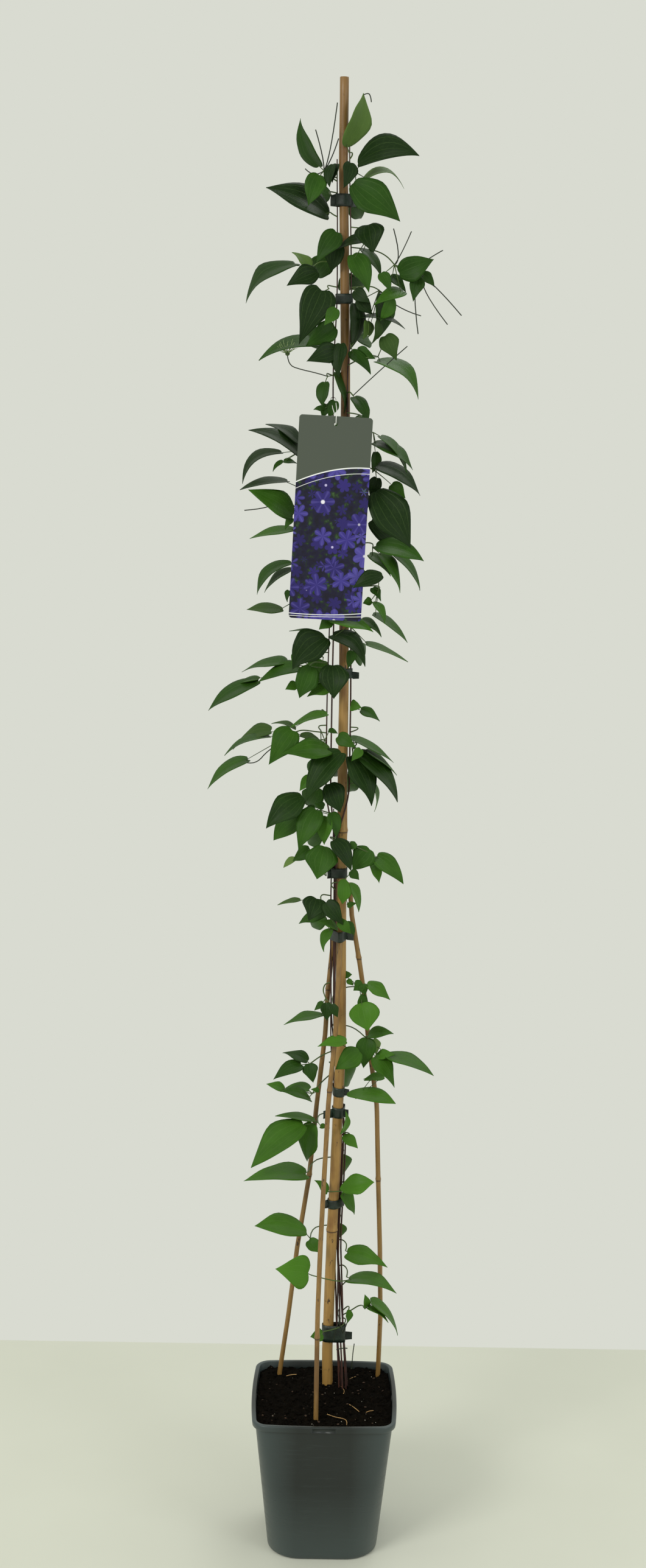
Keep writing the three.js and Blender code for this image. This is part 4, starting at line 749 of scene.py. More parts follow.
LEAVES = {
    "stem_right": [
        leaf(1812, (6, 1820, 10), [
            leaflet(0, 1827, 24, 1889, 26, 12, -6, arch=0.12, tone=PALE, widest=0.5),
        ], stalks=[
            [(22, 1887, 6), (27, 1890, 5), (31, 1887, 4), (32, 1879, 4)],
        ]),
        leaf(1796, (14, 1797, 16), [
            leaflet(17, 1807, 91, 1819, 30, 14, 12, arch=0.1, bend=0.12, tone=DARK, widest=0.45),
            leaflet(12, 1784, 70, 1740, 41, 26, 20, widest=0.45),
            leaflet(24, 1787, 74, 1780, 6, 2, -8, arch=0.3, tone=PALE),
            leaflet(8, 1808, 0, 1778, 18, 22, 10, tone=DARK),
        ]),
        leaf(1732, (31, 1720, 14), [
            leaflet(31, 1735, 38, 1702, 36, 20, 16, tone=DARK),
            leaflet(27, 1718, -8, 1704, 12, 18, 2, tone=DARK),
            leaflet(12, 1699, 34, 1655, 26, 22, 10, tone=LIGHT),
            leaflet(22, 1706, 48, 1674, 11, 8, 6),
        ]),
        leaf(1708, (64, 1688, 16), [
            leaflet(48, 1678, 60, 1656, 14, 20, 6, tone=LIGHT),
            leaflet(70, 1678, 112, 1695, 30, 20, 10),
            leaflet(59, 1674, 79, 1655, 12, 8, 4),
            leaflet(93, 1674, 88, 1644, 18, 20, 6),
            leaflet(98, 1678, 114, 1662, 12, 12, 0),
            leaflet(76, 1656, 40, 1640, 16, 12, 14, tone=LIGHT),
        ], stalks=[
            [(64, 1688, 16), (72, 1699, 16), (84, 1728, 20)],
            [(64, 1688, 16), (74, 1692, 12), (62, 1731, 6)],
            [(84, 1681, 15.4), (110, 1699, 8), (123, 1706, 6)],
            [(64, 1688, 16), (96, 1677, 15), (104, 1650, 18), (131, 1617, 24)],
            [(90, 1679, 15.2), (88, 1649, 16), (95, 1605, 18)],
            [(96, 1677, 15), (116, 1664, 10), (148, 1628, 12)],
        ]),
        leaf(1660, (46, 1657, 4), [
            leaflet(48, 1653, 47, 1598, 22, 4, -6),
            leaflet(62, 1649, 48, 1620, 16, 16, 4, tone=LIGHT),
            leaflet(45, 1622, 39, 1592, 9, 14, 2, tone=DULL),
            leaflet(32, 1620, 27, 1597, 10, 12, 2, tone=PALE),
            leaflet(20, 1646, 38, 1628, 18, 8, 4, tone=DARK),
            leaflet(36, 1618, 34, 1600, 7, 8, 2, tone=PALE),
        ], stalks=[
            [(46, 1657, 4), (64, 1636, 0), (98, 1627, -8)],
        ]),
        leaf(1657, (16, 1658, 14), [
            leaflet(15, 1656, 35, 1642, 16, 14, 12, tone=DARK),
        ]),
        leaf(1634, (15, 1640, 6), [
            leaflet(15, 1641, 12, 1585, 20, 8, 4, tone=DARK),
        ]),
        leaf(1618, (20, 1622, 0), [
            leaflet(21, 1622, 79, 1612, 7, 0, 14, arch=0.12, tone=DARK),
        ]),
        leaf(1592, (12, 1589, 16), [
            leaflet(12, 1583, 38, 1556, 16, 18, 8),
        ]),
        leaf(1566, (46, 1577, 0), [
            leaflet(20, 1584, 43, 1574, 15, 12, 4, tone=MID),
            leaflet(45, 1571, 99, 1528, 17, 2, 12, arch=0.16, bend=0.06, tone=LIGHT),
            leaflet(54, 1602, 69, 1573, 24, 8, 10, tone=DULL),
        ]),
        leaf(1532, (16, 1529, 12), [
            leaflet(17, 1527, 36, 1496, 16, 14, 12),
        ], stalks=[
            [(16, 1529, 12), (48, 1560, 16), (82, 1590, 10)],
        ]),
        leaf(1478, (42, 1484, 22), [
            leaflet(51, 1479, 86, 1436, 11, 24, 12, tone=MID),
            leaflet(42, 1471, 93, 1440, 16, 22, 20, tone=MID),
            leaflet(45, 1460, 42, 1434, 12, 18, -4),
        ]),
        leaf(1440, (46, 1436, 24), [
            leaflet(48, 1443, 103, 1408, 20, 30, 14, tone=DARK),
            leaflet(48, 1428, 40, 1402, 16, 18, -4, tone=DARK),
            leaflet(66, 1420, 84, 1403, 18, 16, 4, tone=LIGHT),
        ]),
        leaf(1396, (48, 1404, 20), [
            leaflet(47, 1411, 92, 1341, 46, 32, 18, tone=DARK, widest=0.42),
            leaflet(42, 1375, 84, 1338, 30, 8, -6, tone=DARK),
        ]),
        leaf(1345, (44, 1341, 24), [
            leaflet(48, 1343, 109, 1325, 24, 28, 14),
            leaflet(53, 1333, 80, 1284, 14, 20, 2, tone=LIGHT),
            leaflet(70, 1333, 106, 1288, 10, 10, -4),
            leaflet(40, 1332, 68, 1305, 12, 14, 4, tone=LIGHT),
        ]),
        leaf(1290, (52, 1287, 34), [
            leaflet(57, 1306, 20, 1290, 18, 66, 2, tone=DARK),
            leaflet(45, 1290, 56, 1273, 10, 30, 6),
            leaflet(44, 1274, 33, 1270, 10, 28, 2, tone=LIGHT),
            leaflet(46, 1272, 62, 1246, 9, 34, 8, tone=LIGHT),
            leaflet(46, 1256, 91, 1221, 10, 26, 4, arch=0.06, tone=MID),
        ]),
        leaf(1240, (17, 1241, 18), [
            leaflet(32, 1249, 58, 1228, 10, 22, 2),
            leaflet(-8, 1250, 47, 1234, 20, 34, 12, tone=LIGHT),
            leaflet(-8, 1250, -22, 1236, 16, 34, 8, tone=LIGHT),
            leaflet(-5, 1229, 38, 1190, 22, 26, 14, arch=0.1, bend=0.14, tone=DARK),
            leaflet(38, 1218, 92, 1196, 8, 8, -4, arch=0.03, tone=LIGHT),
        ]),
        leaf(1206, (19, 1209, 8), [
            leaflet(20, 1209, 15, 1186, 12, 10, 2),
        ]),
        leaf(1132, (22, 1136, 8), [
            leaflet(20, 1139, 34, 1136, 14, 12, 8, tone=LIGHT),
            leaflet(33, 1133, 58, 1119, 12, 6, -2),
        ]),
        leaf(1088, (24, 1084, 14), [
            leaflet(20, 1072, 50, 1008, 31, 26, 14, tone=DARK),
            leaflet(30, 1076, 85, 1015, 23, 16, -4, tone=DARK),
            leaflet(21, 1096, 77, 1067, 10, 6, 6, arch=0.03),
            leaflet(42, 1079, 82, 1050, 7, 6, -10, arch=0.03),
            leaflet(4, 1098, 28, 1084, 18, 22, 10),
            leaflet(34, 1082, 22, 1066, 12, 30, 8, tone=LIGHT),
        ]),
        leaf(1036, (48, 1038, 4), [
            leaflet(51, 1036, 53, 1000, 4, 4, -2, tone=LIGHT),
        ]),
        leaf(962, (6, 964, 26), [
            leaflet(1, 961, 25, 921, 22, 30, 10, tone=DARK),
            leaflet(48, 950, 26, 922, 30, 18, -2),
            leaflet(30, 958, 20, 950, 10, 22, 2),
            leaflet(50, 932, 61, 905, 12, 8, 8, tone=LIGHT),
            leaflet(57, 941, 93, 905, 24, 14, 10),
        ]),
        leaf(896, (12, 906, 22), [
            leaflet(14, 910, 14, 876, 18, 28, 8, tone=LIGHT, widest=0.5),
            leaflet(22, 903, 36, 866, 11, 14, -2, tone=LIGHT),
            leaflet(20, 874, 32, 878, 7, 18, 2),
            leaflet(24, 921, 35, 909, 12, 16, 2),
        ]),
    ],
    "stem_left_top": [
        leaf(1796, (-24, 1798, 6), [
            leaflet(-30, 1803, -55, 1858, 20, 6, 14, widest=0.4),
            leaflet(-30, 1793, -43, 1757, 26, 16, 14, tone=LIGHT),
            leaflet(-13, 1806, -17, 1779, 12, 18, 8, tone=DARK),
        ], stalks=[
            [(-24, 1798, 6), (-17, 1811, 8), (-9, 1878, 16)],
            [(-24, 1798, 6), (-24, 1812, 2), (-35, 1846, -4)],
            [(-24, 1798, 6), (-15, 1810, 2), (-7, 1836, -8)],
            [(-24, 1798, 6), (-36, 1789, 0), (-47, 1800, -6)],
        ]),
        leaf(1786, (-8, 1790, 14), [
            leaflet(-8, 1806, -14, 1784, 10, 16, 4, tone=DARK),
        ]),
        leaf(1744, (-18, 1748, 6), [
            leaflet(-18, 1745, -94, 1778, 30, 8, 22, arch=0.08, tone=DARK, widest=0.42),
        ]),
        leaf(1722, (-11, 1720, 10), [
            leaflet(-8, 1726, -32, 1689, 26, 16, 12, tone=MID),
            leaflet(-7, 1712, -14, 1678, 24, 12, -4, tone=DARK),
        ]),
        leaf(1690, (-36, 1684, 4), [
            leaflet(-40, 1684, -62, 1701, 12, 2, -10, tone=PALE),
            leaflet(-58, 1687, -118, 1639, 20, 0, 22, arch=0.1, bend=0.16),
            leaflet(-30, 1678, -68, 1661, 24, 10, 12, tone=DARK),
        ]),
        leaf(1660, (-16, 1658, 16), [
            leaflet(-25, 1656, -52, 1590, 42, 26, 12, tone=DARK, widest=0.24),
        ]),
        leaf(1622, (-8, 1626, 14), [
            leaflet(-6, 1634, -21, 1614, 16, 38, 8, tone=LIGHT),
            leaflet(-8, 1612, -44, 1588, 26, 12, 6),
        ]),
        leaf(1590, (-12, 1590, 12), [
            leaflet(-22, 1590, -102, 1573, 16, -4, 16, arch=0.08, bend=0.06),
            leaflet(-6, 1584, -42, 1570, 25, 22, 14, tone=DARK),
            leaflet(0, 1592, -2, 1551, 20, 24, 8, tone=DARK),
        ]),
        leaf(1553, (-16, 1552, 12), [
            leaflet(-19, 1545, -22, 1514, 16, 16, 10),
            leaflet(-7, 1557, 7, 1508, 12, 6, 0, tone=MID),
        ], stalks=[
            [(-16, 1552, 12), (-30, 1556, 8), (-50, 1560, 4), (-65, 1565, 2), (-66, 1577, 2)],
        ]),
        leaf(1516, (-14, 1515, 14), [
            leaflet(-19, 1512, -33, 1511, 6, 12, -4),
            leaflet(-17, 1518, -22, 1500, 12, 10, 4),
            leaflet(-6, 1522, -14, 1500, 14, 16, 4),
        ]),
        leaf(1468, (-44, 1462, 18), [
            leaflet(-50, 1470, -92, 1493, 13, 16, -6, tone=DARK),
            leaflet(-50, 1456, -112, 1487, 18, 26, 18, tone=DARK),
            leaflet(-72, 1458, -122, 1420, 13, 8, 6, arch=0.1, bend=0.34, tone=DARK),
            leaflet(-69, 1447, -52, 1444, 6, 20, 0),
            leaflet(-70, 1447, -83, 1434, 5, 18, 0),
        ]),
        leaf(1418, (-48, 1414, 16), [
            leaflet(-64, 1422, -124, 1413, 9, 16, 20, arch=0.03, tone=DARK),
        ]),
        leaf(1380, (-46, 1378, 18), [
            leaflet(-57, 1380, -113, 1411, 28, 24, 12, tone=LIGHT),
            leaflet(-57, 1376, -67, 1362, 8, 26, 0, tone=LIGHT),
            leaflet(-55, 1361, -111, 1350, 10, 6, -8, arch=0.04, tone=LIGHT),
        ], stalks=[
            [(-46, 1378, 18), (-58, 1398, 6), (-73, 1396, 0), (-95, 1387, -2), (-118, 1385, 0)],
        ]),
    ],
    "stem_left_mid": [
        leaf(1168, (-4, 1168, 14), [
            leaflet(-4, 1163, -36, 1149, 16, 16, 4, tone=LIGHT),
            leaflet(-12, 1176, -34, 1162, 8, 8, -4),
        ]),
        leaf(1318, (-44, 1314, 18), [
            leaflet(-58, 1320, -102, 1280, 14, 18, 10, arch=0.08, bend=0.22),
            leaflet(-58, 1311, -92, 1282, 8, 10, -6),
        ]),
        leaf(1268, (-56, 1270, 8), [
            leaflet(-68, 1260, -114, 1260, 13, 8, 10, arch=0.02, tone=DULL, widest=0.45),
            leaflet(-61, 1285, -63, 1270, 6, 12, -2),
        ]),
        leaf(1222, (-18, 1226, 12), [
            leaflet(-14, 1226, -55, 1184, 42, 26, 14, arch=0.1, bend=0.1, tone=DARK, widest=0.4),
            leaflet(-28, 1233, -60, 1234, 3, -4, -8, arch=0.02),
        ]),
        leaf(1192, (-34, 1188, 4), [
            leaflet(-4, 1190, -2, 1147, 38, 24, 16, tone=DARK),
            leaflet(-46, 1187, -100, 1166, 18, -2, 10),
            leaflet(-64, 1193, -120, 1181, 11, -12, -14, arch=0.05),
            leaflet(-48, 1206, -56, 1190, 8, 4, 2, tone=LIGHT),
            leaflet(-98, 1168, -163, 1131, 19, -14, 16, arch=0.06, widest=0.42),
            leaflet(-98, 1171, -130, 1159, 5, -18, -10),
        ]),
        leaf(1160, (-38, 1162, -4), [
            leaflet(-50, 1165, -64, 1158, 12, -6, 4, tone=LIGHT),
            leaflet(-31, 1188, -46, 1147, 30, 22, 8, tone=MID),
        ]),
        leaf(1128, (-16, 1130, 10), [
            leaflet(-10, 1127, -57, 1110, 10, 26, 6, arch=0.05, tone=LIGHT),
            leaflet(-50, 1107, -81, 1115, 6, -6, 0, tone=DULL),
        ]),
        leaf(1102, (-52, 1102, 4), [
            leaflet(-82, 1104, -131, 1080, 15, -8, -12, tone=DULL),
            leaflet(-83, 1096, -142, 1073, 9, 0, 16),
            leaflet(-54, 1105, -84, 1060, 34, 14, 16),
            leaflet(-44, 1099, -14, 1086, 9, 6, 4, tone=DULL),
            leaflet(-111, 1066, -163, 1027, 15, -14, 12),
        ], stalks=[
            [(-52, 1102, 4), (-85, 1080, -14), (-100, 1060, -18), (-112, 1062, -16)],
        ]),
        leaf(1092, (-16, 1086, 16), [
            leaflet(-6, 1080, -68, 1075, 25, 24, 18, arch=0.07),
            leaflet(-8, 1106, 4, 1102, 6, 24, 2),
            leaflet(9, 1077, -36, 1014, 34, 32, 14, tone=DARK, widest=0.36),
        ]),
        leaf(1064, (-28, 1050, 4), [
            leaflet(-31, 1046, -44, 1026, 14, 6, 6, tone=LIGHT),
        ]),
        leaf(1036, (-6, 1033, 22), [
            leaflet(-6, 1036, 9, 998, 29, 26, 10, tone=DARK),
        ]),
        leaf(732, (38, 764, 0), [
            leaflet(17, 780, 28, 781, 9, -2, 0),
            leaflet(22, 774, 30, 766, 7, 2, 2),
            leaflet(42, 768, 46, 753, 12, 8, 2),
            leaflet(42, 769, 30, 759, 16, 6, 4),
            leaflet(48, 769, 79, 747, 16, 4, 8, arch=0.06, tone=LIGHT),
            leaflet(43, 754, 38, 730, 12, 8, 0),
            leaflet(41, 742, 50, 704, 40, 14, 16, tone=LIGHT, widest=0.44),
        ]),
        leaf(706, (46, 696, 0), [
            leaflet(51, 698, 84, 701, 15, 0, 12),
            leaflet(50, 693, 45, 652, 26, 4, 4, tone=MID),
            leaflet(58, 693, 62, 671, 10, 2, -2, tone=PALE),
            leaflet(75, 671, 139, 646, 18, 2, 26, arch=0.04, tone=MID, widest=0.42),
            leaflet(62, 668, 87, 672, 12, 6, 2, tone=LIGHT),
            leaflet(59, 668, 87, 626, 22, 10, 12),
        ]),
    ],
    "stem_middle": [
        leaf(998, (-24, 1000, 10), [
            leaflet(-40, 1018, -87, 976, 33, 18, 16, tone=DARK, widest=0.4),
            leaflet(-40, 995, -77, 960, 28, 2, -14),
            leaflet(-22, 1001, -45, 948, 32, 22, 16),
            leaflet(-12, 1006, -24, 1010, 10, 20, 6),
            leaflet(-24, 1004, -40, 1000, 8, 14, 4),
            leaflet(-2, 998, 4, 964, 16, 20, 6),
            leaflet(-9, 993, -12, 955, 20, 22, 4, tone=LIGHT),
        ]),
        leaf(944, (-14, 952, 14), [
            leaflet(-11, 953, -20, 909, 40, 26, 16, widest=0.44),
            leaflet(-30, 950, -52, 933, 18, 4, 2),
            leaflet(-48, 936, -64, 924, 8, 0, -4, tone=PALE),
        ]),
        leaf(886, (-14, 880, 12), [
            leaflet(-41, 881, -71, 874, 6, 4, 6, arch=0.02, tone=DULL),
            leaflet(-20, 883, -30, 853, 33, 22, 14, tone=DARK, widest=0.3),
            leaflet(-8, 862, -43, 849, 15, 12, -8),
            leaflet(-8, 878, 15, 848, 22, 30, 8, tone=DARK),
            leaflet(10, 853, 26, 836, 14, 34, 2, tone=MID),
            leaflet(8, 842, -17, 853, 9, 26, 4),
            leaflet(0, 842, -10, 811, 12, 24, 6, arch=0.2, tone=LIGHT),
            leaflet(20, 852, 30, 834, 9, 22, 2),
        ]),
        leaf(768, (-6, 748, 14), [
            leaflet(-5, 742, -4, 717, 15, 16, 6, tone=DARK),
            leaflet(2, 740, 10, 722, 12, 32, 4, tone=DARK),
            leaflet(-9, 742, -21, 731, 9, 14, 4),
        ]),
        leaf(728, (-9, 727, 8), [
            leaflet(-10, 725, -61, 711, 11, 6, 14, arch=0.04, tone=MID),
        ]),
    ],
    "stem_low": [
        leaf(292, (-2, 276, 22), [
            leaflet(-3, 272, -20, 268, 17, 24, 2),
        ]),
        leaf(690, (14, 686, 16), [
            leaflet(40, 675, 8, 650, 28, 22, 8, tone=MID),
            leaflet(22, 689, -16, 682, 14, 36, 2, arch=0.05, tone=LIGHT),
        ]),
        leaf(672, (-26, 657, 4), [
            leaflet(-29, 661, -62, 672, 14, 2, -10, tone=DARK),
            leaflet(-37, 656, -74, 635, 19, 8, 14, tone=DARK),
            leaflet(-27, 657, -21, 631, 19, 10, 8, tone=DARK),
        ], hugs=True),
        leaf(642, (-22, 616, 2), [
            leaflet(-60, 621, -83, 629, 11, 0, -6),
            leaflet(-13, 620, -24, 622, 6, 12, 0),
            leaflet(-26, 622, -64, 619, 12, -2, -12),
            leaflet(-24, 607, -64, 619, 13, 12, 14),
        ], hugs=True),
        leaf(604, (36, 610, 4), [
            leaflet(24, 616, 89, 606, 19, 8, 18, arch=0.05, tone=LIGHT, widest=0.5),
            leaflet(73, 641, 45, 637, 11, 0, -4, arch=0.04, tone=LIGHT),
            leaflet(57, 638, 46, 635, 5, 2, 2),
        ]),
        leaf(572, (-14, 576, 14), [
            leaflet(-18, 578, -71, 584, 10, 10, 8, arch=0.03, tone=MID),
            leaflet(-11, 570, 2, 568, 6, 20, 2),
            leaflet(-34, 573, -103, 511, 37, 26, 20, arch=0.08, tone=MID, widest=0.38),
            leaflet(-21, 574, -28, 520, 28, 12, -12, tone=MID),
        ]),
        leaf(552, (30, 555, 2), [
            leaflet(18, 561, 24, 592, 8, 10, 2, tone=LIGHT),
            leaflet(20, 557, 40, 540, 14, 8, 8, tone=LIGHT),
        ]),
        leaf(510, (-26, 506, 14), [
            leaflet(-29, 502, -112, 492, 25, 18, 20, arch=0.05, tone=MID, widest=0.3),
        ]),
        leaf(484, (28, 482, 2), [
            leaflet(17, 482, 62, 493, 27, 8, 14, tone=LIGHT, widest=0.58),
            leaflet(19, 475, 38, 446, 15, 2, -6, tone=MID),
        ]),
        leaf(474, (0, 478, 14), [
            leaflet(0, 477, -17, 494, 12, 16, 4),
        ]),
        leaf(412, (-22, 411, 14), [
            leaflet(-27, 420, -96, 430, 28, 18, 14, arch=0.06, tone=MID, widest=0.46),
            leaflet(-24, 408, -8, 390, 18, 20, 6),
        ]),
        leaf(402, (26, 394, 8), [
            leaflet(28, 390, 83, 371, 26, 10, 16),
        ]),
        leaf(366, (28, 356, 8), [
            leaflet(31, 352, 96, 336, 19, 8, 22),
        ]),
        leaf(336, (-20, 358, 16), [
            leaflet(-24, 361, -68, 366, 44, 22, 16, tone=BRIGHT),
        ]),
        leaf(296, (52, 312, 14), [
            leaflet(55, 311, 53, 331, 9, 14, 2),
            leaflet(58, 312, 86, 291, 8, 16, 8),
            leaflet(62, 320, 100, 273, 10, 10, -6),
        ]),
        leaf(302, (31, 308, 10), [
            leaflet(31, 308, 30, 288, 8, 12, 2),
        ], stalks=[
            [(31, 308, 10), (33, 300, 12), (28, 284, 10), (24, 274, 8)],
            [(12, 262, 12), (14, 280, 16), (20, 292, 14), (16, 306, 12), (20, 312, 10)],
            [(24, 276, 14), (18, 288, 18), (22, 298, 18), (17, 300, 16)],
            [(16, 250, 14), (25, 253, 16), (31, 252, 16)],
            [(37, 222, 4), (38, 244, 4), (40, 259, 4)],
        ]),
    ],
}
BACK_LEAVES = {
    "stem_right": [
        leaf(1778, (10, 1770, -26), [
            leaflet(8, 1768, 22, 1742, 26, -28, -42),
            leaflet(14, 1770, 44, 1762, 18, -26, -34),
        ]),
        leaf(1680, (14, 1676, -28), [
            leaflet(14, 1674, 30, 1664, 28, -30, -40),
            leaflet(6, 1676, 4, 1654, 22, -30, -34),
        ]),
        leaf(1606, (16, 1602, -26), [
            leaflet(18, 1600, 36, 1596, 22, -28, -44),
        ]),
        leaf(1508, (14, 1500, -26), [
            leaflet(12, 1498, 2, 1470, 30, -28, -30),
            leaflet(18, 1500, 34, 1478, 26, -28, -40),
        ]),
        leaf(1420, (20, 1412, -28), [
            leaflet(20, 1410, 34, 1384, 30, -30, -34),
        ]),
        leaf(1320, (18, 1312, -28), [
            leaflet(18, 1310, 30, 1290, 30, -30, -44),
            leaflet(10, 1312, -6, 1288, 28, -30, -30),
        ]),
        leaf(1216, (20, 1214, -24), [
            leaflet(22, 1212, 36, 1200, 26, -26, -44),
        ]),
        leaf(1110, (20, 1104, -26), [
            leaflet(24, 1062, 36, 1034, 28, -30, -36),
        ]),
        leaf(1058, (18, 1052, -26), [
            leaflet(16, 1048, 24, 1026, 30, -28, -36),
        ]),
    ],
    "stem_left_top": [
        leaf(1772, (-12, 1768, -20), [
            leaflet(-16, 1768, -40, 1762, 24, -22, -40),
        ]),
        leaf(1712, (-14, 1700, -22), [
            leaflet(-16, 1696, -34, 1672, 28, -24, -36),
        ]),
        leaf(1612, (-16, 1606, -22), [
            leaflet(-20, 1604, -40, 1590, 28, -24, -40),
        ]),
        leaf(1440, (-18, 1432, -24), [
            leaflet(-22, 1430, -46, 1404, 32, -26, -36),
            leaflet(-12, 1434, -4, 1400, 26, -28, -30),
        ]),
        leaf(1352, (-16, 1346, -24), [
            leaflet(-20, 1342, -40, 1322, 32, -26, -40),
        ]),
    ],
    "stem_left_mid": [
        leaf(1290, (-14, 1286, -24), [
            leaflet(-18, 1284, -40, 1262, 30, -28, -40),
        ]),
        leaf(1206, (-16, 1200, -26), [
            leaflet(-16, 1196, -30, 1166, 34, -30, -34),
        ]),
        leaf(1112, (-18, 1106, -24), [
            leaflet(-14, 1068, -28, 1042, 28, -30, -34),
            leaflet(-4, 1072, 4, 1046, 24, -32, -34),
        ]),
        leaf(1040, (-16, 1034, -24), [
            leaflet(-20, 1030, -34, 1006, 30, -28, -34),
        ]),
    ],
    "stem_middle": [
        leaf(978, (-10, 972, -24), [
            leaflet(-14, 970, -34, 962, 30, -28, -44),
        ]),
        leaf(932, (-8, 914, -24), [
            leaflet(-8, 946, -24, 924, 28, -30, -34),
        ]),
        leaf(868, (-8, 862, -28), [
            leaflet(-8, 860, -26, 846, 26, -32, -36),
        ]),
    ],
    "stem_low": [
        leaf(656, (16, 652, -28), [
            leaflet(18, 650, 28, 632, 26, -30, -40),
        ]),
        leaf(532, (16, 528, -26), [
            leaflet(14, 526, 20, 500, 24, -28, -34),
        ]),
        leaf(440, (14, 434, -26), [
            leaflet(10, 430, 6, 404, 22, -28, -34),
        ]),
    ],
}

# %% Leaflet form
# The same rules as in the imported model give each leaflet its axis, its width and its facing. One
# that looks narrower than a real leaflet of its length is rolled about its axis.
FULLNESS = 0.58
FOLD = 0.16
LEAFLET_GRID = (10, 18)
BLADE_THICKNESS = 0.6
SHORT = 50


def leaflet_axes(place):
    axis = place["tip"] - place["base"]
    length = axis.length
    axis.normalize()
    sight = (place["base"] - EYE).normalized()
    side = axis.cross(sight).normalized()
    x0, z0, x1, z1 = place["ends"]
    upright = abs(z1 - z0) > abs(x1 - x0)
    outward = side.x * math.copysign(1, x0 + x1) if upright else side.z
    if outward < 0:
        side.negate()
    face = side.cross(axis).normalized()
    if face.dot(sight) > 0:
        face.negate()
    full_width = max(place["width"], FULLNESS * length)
    roll = math.acos(min(place["width"] / full_width, 1))
    across = side * math.cos(roll) - face * math.sin(roll)
    normal = face * math.cos(roll) + side * math.sin(roll)
    return axis, length, across, normal, full_width


def leaflet_root(place):
    """A little way inside the blade, where its stalk ends."""
    axis, length, _, normal, _ = leaflet_axes(place)
    share = 0.14 if length < SHORT else 0.08
    inside = place["base"] + axis * share * length
    inside += normal * 4 * share * (1 - share) * place["arch"] * length
    return place["base"].lerp(inside, 0.7)


def half_width(share, widest):
    """Half the blade's width at a share of its length, as a share of its full width."""
    turn = math.pi * min(max(share, 0.0), 1.0) ** (math.log(0.5) / math.log(widest))
    return 0.5 * math.sin(turn) ** (0.8 if share < widest else 1.15)


def leaflet_template(turned_over):
    """A grid with a thickness: x across from -1 to 1, y the share of the length, z the side."""
    bm = bmesh.new()
    uv_layer = bm.loops.layers.uv.new("leaf_uv")
    columns, rows = LEAFLET_GRID
    bmesh.ops.create_grid(bm, x_segments=columns, y_segments=rows, size=1, calc_uvs=True)
    bmesh.ops.solidify(bm, geom=bm.faces[:], thickness=1)
    low = min(vert.co.z for vert in bm.verts)
    high = max(vert.co.z for vert in bm.verts)
    bmesh.ops.recalc_face_normals(bm, faces=bm.faces)
    for face in bm.faces:
        under = face.normal.z < -0.5
        face.material_index = int(under != turned_over)
        for loop in face.loops:
            loop[uv_layer].uv = ((loop.vert.co.x + 1) / 2, (loop.vert.co.y + 1) / 2)
    for vert in bm.verts:
        vert.co.y = (1 - math.cos(math.pi * (vert.co.y + 1) / 2)) / 2
        vert.co.z = 1 if vert.co.z > (low + high) / 2 else -1
    mesh = bpy.data.meshes.new("leaflet_template")
    bm.to_mesh(mesh)
    bm.free()
    return mesh


templates = {over: leaflet_template(over) for over in (False, True)}
print("a leaflet has", len(templates[False].polygons), "faces")


def bend_leaflet(verts, place, rng):
    """Shapes one copy of the template into the leaflet at its place."""
    axis, length, across, normal, full_width = leaflet_axes(place)
    widest = place["widest"] or rng.uniform(0.32, 0.42)
    seen_share = place["width"] / full_width
    wave = rng.uniform(0.015, 0.04) * length * seen_share
    notched, twist = rng.uniform(0.1, 0.8), rng.uniform(-0.45, 0.45) * seen_share
    phases = [rng.uniform(0, 6.28), rng.uniform(0, 6.28)]
    uneven = rng.uniform(-0.09, 0.09)
    hook = rng.uniform(-0.05, 0.05)
    droop = rng.uniform(0.0, 0.05)
    for vert in verts:
        u, share, side = vert.co
        half = half_width(share, widest) * full_width
        half *= 1 + 0.1 * notched * math.sin(11 * share + 2 * phases[int(u > 0)])
        reach = u * (half * (1 + uneven * math.copysign(1, u)) + (0.5 if share < 0.5 else 0.12))
        along = share - 0.06 * (1 - share) * abs(u) ** 1.7 * min(1, half / (0.2 * full_width))
        swell = 4 * along * (1 - along)
        lift = place["arch"] * swell * length + FOLD * abs(reach) * (1.12 - 0.2 * abs(u))
        ripple = math.sin(7.5 * share + phases[int(u > 0)]) * wave * abs(u) ** 2 * (0.4 + 0.6 * swell)
        turned = twist * (share - 0.3)
        lift += ripple - droop * length * share**4 + reach * math.sin(turned)
        sideways = place["bend"] * swell * length + reach * math.cos(turned)
        sideways += hook * length * share**3 * (1 - share) * 2
        vert.co = (
            place["base"] + axis * (along * length) + across * sideways
            + normal * (lift + side * BLADE_THICKNESS / 2)
        )


# %% [markdown]
# ### What leaves are made of
# The upper side is a satin green, darker on old leaves and yellower on young ones, with sunken
# veins that run from the base to the tip and a fine net between them. The underside is paler
# and duller, with veins that stand up. Each leaflet carries its tone as an attribute, and the
# veins follow its UV map, so both stay with the leaf when the plant is seen from elsewhere.

# %% Leaf materials
def vein_marks(tree):
    """Strength of the main veins and of the net between them, from the leaflet's UV map."""
    uv = add(tree, "UVMap", uv_map="leaf_uv").outputs[0]
    split = add(tree, "SeparateXYZ", {0: uv})
    off_rib = sums(tree, "ABSOLUTE", sums(tree, "SUBTRACT", split.outputs[0], 0.5))
    nearest = sums(tree, "PINGPONG", off_rib, 0.0925)
    main = span(tree, nearest, 0.014, 0.002)
    fade = span(tree, split.outputs[1], 0.95, 0.6, 0.25, 1.0)
    main = sums(tree, "MULTIPLY", main, fade)
    stretched = add(tree, "Mapping", {"Vector": uv, "Scale": (9, 15, 1)}).outputs[0]
    cells = add(tree, "TexVoronoi", {"Vector": stretched, "Scale": 1.0}, feature="DISTANCE_TO_EDGE")
    net = span(tree, cells.outputs["Distance"], 0.06, 0.01)
    return main, net


